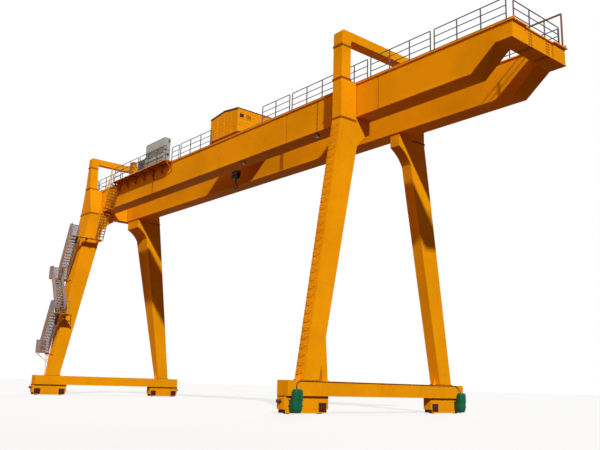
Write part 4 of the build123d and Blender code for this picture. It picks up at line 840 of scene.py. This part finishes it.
WIRE_PITCH, WIRE = 0.018, 0.0047
PANEL_FOOT, PANEL_HEIGHT, STRINGER_RISE = 0.010, 0.500, 0.070
MESH_DROP, MESH_COLUMNS, MESH_ROWS = 0.11, 20, 100
guard_shapes = []
for x_low, z_low, x_high, z_high, y_inner, width in FLIGHTS[:3]:
    for y_plate in (-(y_inner + SIDE_PLATE / 2), -(y_inner + width - SIDE_PLATE / 2)):
        guard_shapes += wire_panel((x_low, y_plate, z_low), (x_high, y_plate, z_high), STRINGER_RISE,
                                   PANEL_HEIGHT)
    low_end, high_end = np.array([(x_low, 0, z_low), (x_high, 0, z_high)]) - (0, 0, MESH_DROP)
    clear_sides = (y_inner + SIDE_PLATE, y_inner + width - SIDE_PLATE)
    wire_y = -np.linspace(*clear_sides, MESH_COLUMNS)[:, None] * (0, 1, 0)
    steps = low_end + np.linspace(0.05, 1.05, MESH_ROWS)[:, None] * (high_end - low_end)
    raked_wires = np.stack([steps[0] + wire_y, steps[-1] + wire_y], axis=1)
    level_wires = np.stack([steps + wire_y[0], steps + wire_y[-1]], axis=1)
    guard_shapes.append(tubes(raked_wires, (0, 1, 0), WIRE, sides=4))
    guard_shapes.append(tubes(level_wires, (0, 0, 1), WIRE, sides=4))
LANDING, SHEET = 0.400, 0.008
for index, (edge_x, level, head_x, _, y_inner, width) in enumerate(FLIGHTS[:3]):
    outward = math.copysign(1, edge_x - head_x)
    end_x = edge_x + outward * (LANDING - SHEET)
    outer_y = -(FLIGHTS[max(index - 1, 0)][4] + width - SHEET)
    inner_y = -y_inner
    if outward < 0:
        guard_shapes += wire_panel((end_x, outer_y, level), (end_x, inner_y, level),
                                   PANEL_FOOT, PANEL_HEIGHT)
    else:
        hoop = np.array([(end_x, outer_y, level), (end_x, outer_y, level + PANEL_HEIGHT),
                         (end_x, inner_y, level + PANEL_HEIGHT), (end_x, inner_y, level)])
        hoop_bars = np.stack([hoop[:-1], hoop[1:]], axis=1)
        knee_bar = (hoop_bars[1] - (0, 0, PANEL_HEIGHT / 2))[None]
        guard_shapes += [tubes(hoop_bars, (1, 0, 0), TUBE), tubes(knee_bar, (1, 0, 0), KNEE_TUBE)]
    guard_shapes += wire_panel((end_x, outer_y, level), (edge_x, outer_y, level), PANEL_FOOT, PANEL_HEIGHT)
_, _, head_x, head_z, head_inner, head_width = FLIGHTS[2]
head_outer = SHEET - head_inner - head_width
next_x = FLIGHTS[3][0]
guard_shapes += wire_panel((head_x + SHEET, head_outer, head_z), (next_x - SHEET, head_outer, head_z),
                           PANEL_FOOT, PANEL_HEIGHT)
guard_shapes += wire_panel((head_x, head_outer, head_z), (head_x, -head_inner, head_z),
                           PANEL_FOOT, PANEL_HEIGHT)
POST_SHARES = np.array([0.03, 0.5, 0.97])
upper_rails = []
for x_low, z_low, x_high, z_high, y_inner, width in FLIGHTS[3:]:
    y_plate = -(y_inner + width - SIDE_PLATE / 2)
    foot = np.array([(x_low, y_plate, z_low + STRINGER_RISE), (x_high, y_plate, z_high + STRINGER_RISE)])
    posts = foot[0] + POST_SHARES[:, None] * (foot[1] - foot[0])
    upper_rails.append(bars(posts, (0, 0, RAIL_HEIGHT - TUBE), (0, 1, 0), TUBE))
    for height, radius in ((RAIL_HEIGHT / 2, KNEE_TUBE), (RAIL_HEIGHT - TUBE, TUBE)):
        upper_rails.append(tubes((foot + (0, 0, height))[None], (0, 1, 0), radius))
piece("stair_guard_wire", guard_shapes, wire_zinc, replaced=["stair_guards"])
piece("upper_stair_rails", upper_rails, yellow_paint)

# Landing braces: lengths of steel tube from the landings' outer corners down to the leg, cut to fit and
# welded at both ends, in the stair's dull yellow.
BRACES = np.array([((-10.760, -3.050, 1.690), (-10.320, -2.690, 1.300)),
                   ((-9.260, -3.050, 3.260), (-9.910, -2.450, 2.900)),
                   ((-10.760, -2.810, 4.830), (-10.530, -2.210, 4.470))])
BRACE_RADIUS = 0.013
piece("landing_braces", [tubes(BRACES, (0, 0.7, -0.7), BRACE_RADIUS)], kerb_paint)

# Step irons and landing ladder: round bar bent to a stirrup and welded up the right near leg, and a short
# ladder of tube from the left sill to the first landing, painted with the frame.
LEG_FOOT = 0.788
LEAN = math.atan((FOOT_SIDES[1] - HEAD_SIDES[1]) / (LEVELS[1] - LEG_FOOT))
up_leg = np.array([0, math.sin(LEAN), math.cos(LEAN)])
out_leg = np.array([0, -math.cos(LEAN), math.sin(LEAN)])
IRON_PITCH, IRON_HALF, IRON_REACH, IRON_BEND = 0.215, 0.102, 0.077, 0.024
IRON_COUNT, IRON_BAR = 32, 0.008
quarter = np.radians(np.linspace(0, 90, 5))
bend_x = IRON_HALF - IRON_BEND * (1 - np.cos(quarter))
bend_out = IRON_REACH - IRON_BEND * (1 - np.sin(quarter))
iron = np.concatenate([[(IRON_HALF, 0.0)], np.stack([bend_x, bend_out], axis=1),
                       np.stack([-bend_x[::-1], bend_out[::-1]], axis=1), [(-IRON_HALF, 0.0)]])
leg_corner = np.array([X_FEET["right"], -FOOT_SIDES[1], LEG_FOOT])
seats = leg_corner + np.arange(1, IRON_COUNT + 1)[:, None] * IRON_PITCH * up_leg
stirrups = seats[:, None] + iron[None, :, :1] * np.array([1.0, 0, 0]) + iron[None, :, 1:] * out_leg
piece("step_iron_bars", [tubes(stirrups, up_leg, IRON_BAR)], yellow_paint,
      replaced=["leg_step_irons"])

LADDER_X, LADDER_Y = -10.5975, -2.6470
LADDER_FOOT, LADDER_HEAD = SILL_FLOOR, FLIGHTS[0][1]
LADDER_HALF, RUNG_COUNT, STILE, RUNG = 0.115, 8, 0.010, 0.008
left_x, right_x = LADDER_X - LADDER_HALF, LADDER_X + LADDER_HALF
stiles = [((x, LADDER_Y, LADDER_FOOT), (x, LADDER_Y, LADDER_HEAD)) for x in (left_x, right_x)]
rung_levels = np.linspace(LADDER_FOOT, LADDER_HEAD, RUNG_COUNT + 2)[1:-1]
rungs = [((left_x, LADDER_Y, z), (right_x, LADDER_Y, z)) for z in rung_levels]
piece("ladder_bars", [tubes(stiles, (0, 1, 0), STILE), tubes(rungs, (0, 1, 0), RUNG)], yellow_paint,
      replaced=["landing_ladder"])

# Festoon track: a round steel bar that carries the trolley's supply, on posts welded along the far girder's
# edge, in a browner paint than the frame.
FESTOON_ORANGE = (0.28, 0.125, 0.030)
festoon_paint = painted_steel("festoon_paint", FESTOON_ORANGE, STREAK_BROWN, roughness=0.50, shine=0.1)
FESTOON_Y, FESTOON_Z, FESTOON_RADIUS = 1.136, 9.909, 0.025
FESTOON_REACH, FESTOON_POSTS = 11.1975, 12
post_places = np.linspace(-FESTOON_REACH, FESTOON_REACH, FESTOON_POSTS)
festoon_posts = [((x, FESTOON_Y, GIRDER_TOP), (x, FESTOON_Y, FESTOON_Z)) for x in post_places]
festoon_bar = [[(x, FESTOON_Y, FESTOON_Z) for x in (-FESTOON_REACH, FESTOON_REACH)]]
festoon_tubes = [tubes(line, (0, 1, 0), FESTOON_RADIUS) for line in (festoon_posts, festoon_bar)]
piece("festoon_tubes", festoon_tubes, festoon_paint, replaced=["festoon_track"])

# Floodlights: cast aluminium cases on short stems under the near girder, with a flat glass underneath and
# cooling ribs on top.
LAMP_GREY = (0.20, 0.15, 0.10)
lamp_cast = painted_steel("lamp_cast", LAMP_GREY, ZINC_STREAK, roughness=0.45, shine=0.3, metal=0.3)
finish_nodes(lamp_cast, "floodlights")
LAMP_PLACES = np.array([4.4975, 0.7825])
LAMP_Y, LAMP_FLOOR = -1.006, 7.835
LENS_HALF, LENS_THICK = (0.055, 0.036), 0.004
lamp_middle = np.array([(x, LAMP_Y, LAMP_FLOOR) for x in LAMP_PLACES])
lamp_glass = boxes(lamp_middle - (*LENS_HALF, LENS_THICK), lamp_middle + (*LENS_HALF, 0.0))
LAMP_PALE = (0.24, 0.20, 0.16)
lamp_lens = painted_steel("lamp_lens", LAMP_PALE, ZINC_STREAK, roughness=0.20, shine=0.5)
piece("lamp_lenses", [lamp_glass], lamp_lens)
FIN_PLACES = np.array([-0.055, -0.042, -0.029, 0.029, 0.042, 0.055])
FIN_SIZE, FIN_FOOT = np.array((0.006, 0.080, 0.018)), 0.058
fin_x = (LAMP_PLACES[:, None] + FIN_PLACES).ravel()
fin_low = np.array([(x - FIN_SIZE[0] / 2, LAMP_Y - FIN_SIZE[1] / 2, LAMP_FLOOR + FIN_FOOT) for x in fin_x])
fins = boxes(fin_low, fin_low + FIN_SIZE)
piece("lamp_fins", [fins], lamp_cast)


# Ground, sky, suns and camera: a floor that shows white but gives back a dull earth light, under a white
# sky. A bright sun stands to the right, two weaker ones light the shaded sides, and the eye is low down.
def seen_directly(tree):
    """One where the camera sees the surface itself, or in a reflection or through glass."""
    names = ("Is Camera Ray", "Is Glossy Ray", "Is Transmission Ray")
    rays = [Socket.node(tree, "LightPath", output=name) for name in names]
    return (rays[0] + rays[1] + rays[2]) > 0.5


floor_paint, floor_tree = new_tree("pale_floor")
white = Socket.node(floor_tree, "Emission", {}, {"Color": (1.0, 1.0, 1.0), "Strength": 1.0})
CHALK_WHITE, EARTH_DULL, CHALK_SHARE = (0.92, 0.92, 0.92), (0.150, 0.068, 0.030), 0.25
chalk = Socket.node(floor_tree, "BsdfDiffuse", {}, {"Color": CHALK_WHITE})
dull = Socket.node(floor_tree, "BsdfDiffuse", {}, {"Color": EARTH_DULL})
shown = Socket.node(floor_tree, "MixShader", {}, {0: CHALK_SHARE, 1: white, 2: chalk})
floor_mix = {0: seen_directly(floor_tree), 1: dull, 2: shown}
close_tree(floor_tree, Socket.node(floor_tree, "MixShader", {}, floor_mix))
FLOOR_REACH = 400.0
corners = np.array([(-1, -1, 0), (1, -1, 0), (1, 1, 0), (-1, 1, 0)]) * FLOOR_REACH
floor_mesh = bpy.data.meshes.new("floor")
floor_mesh.from_pydata(corners.tolist(), [], [(0, 1, 2, 3)])
floor_mesh.materials.append(floor_paint)
floor = bpy.data.objects.new("floor", floor_mesh)
bpy.context.scene.collection.objects.link(floor)

world = bpy.data.worlds.new("sky")
world.use_nodes = True
world.node_tree.nodes.clear()
sky = world.node_tree
SKY_WARM, SKY_LIGHT = (1.0, 0.88, 0.74), 0.11
light_sky = Socket.node(sky, "Background", {}, {"Color": SKY_WARM, "Strength": SKY_LIGHT})
white_sky = Socket.node(sky, "Background", {}, {"Color": (1.0, 1.0, 1.0), "Strength": 1.0})
sky_shown = Socket.node(sky, "MixShader", {}, {0: seen_directly(sky), 1: light_sky, 2: white_sky})
sky_end = sky.nodes.new("ShaderNodeOutputWorld")
sky.links.new(sky_shown.output, sky_end.inputs["Surface"])
bpy.context.scene.world = world


def sun_lamp(name, towards, strength, angle, colour=(1.0, 1.0, 1.0)):
    """A sun whose light comes from the direction towards."""
    lamp = bpy.data.lights.new(name, "SUN")
    lamp.energy = strength
    lamp.color = colour
    lamp.angle = math.radians(angle)
    sun = bpy.data.objects.new(name, lamp)
    sun.matrix_world = Vector(towards).to_track_quat("Z", "Y").to_matrix().to_4x4()
    bpy.context.scene.collection.objects.link(sun)


sun_lamp("sun", (0.722, -0.414, 0.554), strength=3.40, angle=1.5)
sun_lamp("front", (0.15, -0.93, 0.25), strength=0.50, angle=30.0, colour=(1.0, 0.50, 0.25))
sun_lamp("fill", (-0.55, 0.70, 0.45), strength=1.2, angle=20.0)

CAMERA_PLACE = Vector((19.709, -14.189, 0.665))
CAMERA_YAW = math.radians(50.346)
CAMERA_PITCH = math.radians(12.6)
CAMERA_ROLL = math.radians(-1.641)
forward = Vector((-math.sin(CAMERA_YAW) * math.cos(CAMERA_PITCH),
                  math.cos(CAMERA_YAW) * math.cos(CAMERA_PITCH), math.sin(CAMERA_PITCH)))
sideways = Vector((math.cos(CAMERA_YAW), math.sin(CAMERA_YAW), 0.0))
upright = sideways.cross(forward)
right = sideways * math.cos(CAMERA_ROLL) - upright * math.sin(CAMERA_ROLL)
up = upright * math.cos(CAMERA_ROLL) + sideways * math.sin(CAMERA_ROLL)
SENSOR, LENS, FAR_CLIP = 36.0, 43.096, 2000.0
eye = bpy.data.cameras.new("eye")
eye.sensor_width = SENSOR
eye.lens = LENS
eye.clip_end = FAR_CLIP
camera = bpy.data.objects.new("eye", eye)
camera.matrix_world = Matrix.Translation(CAMERA_PLACE) @ Matrix((right, up, -forward)).transposed().to_4x4()
bpy.context.scene.collection.objects.link(camera)
bpy.context.scene.camera = camera
bpy.context.scene.view_settings.view_transform = "Standard"
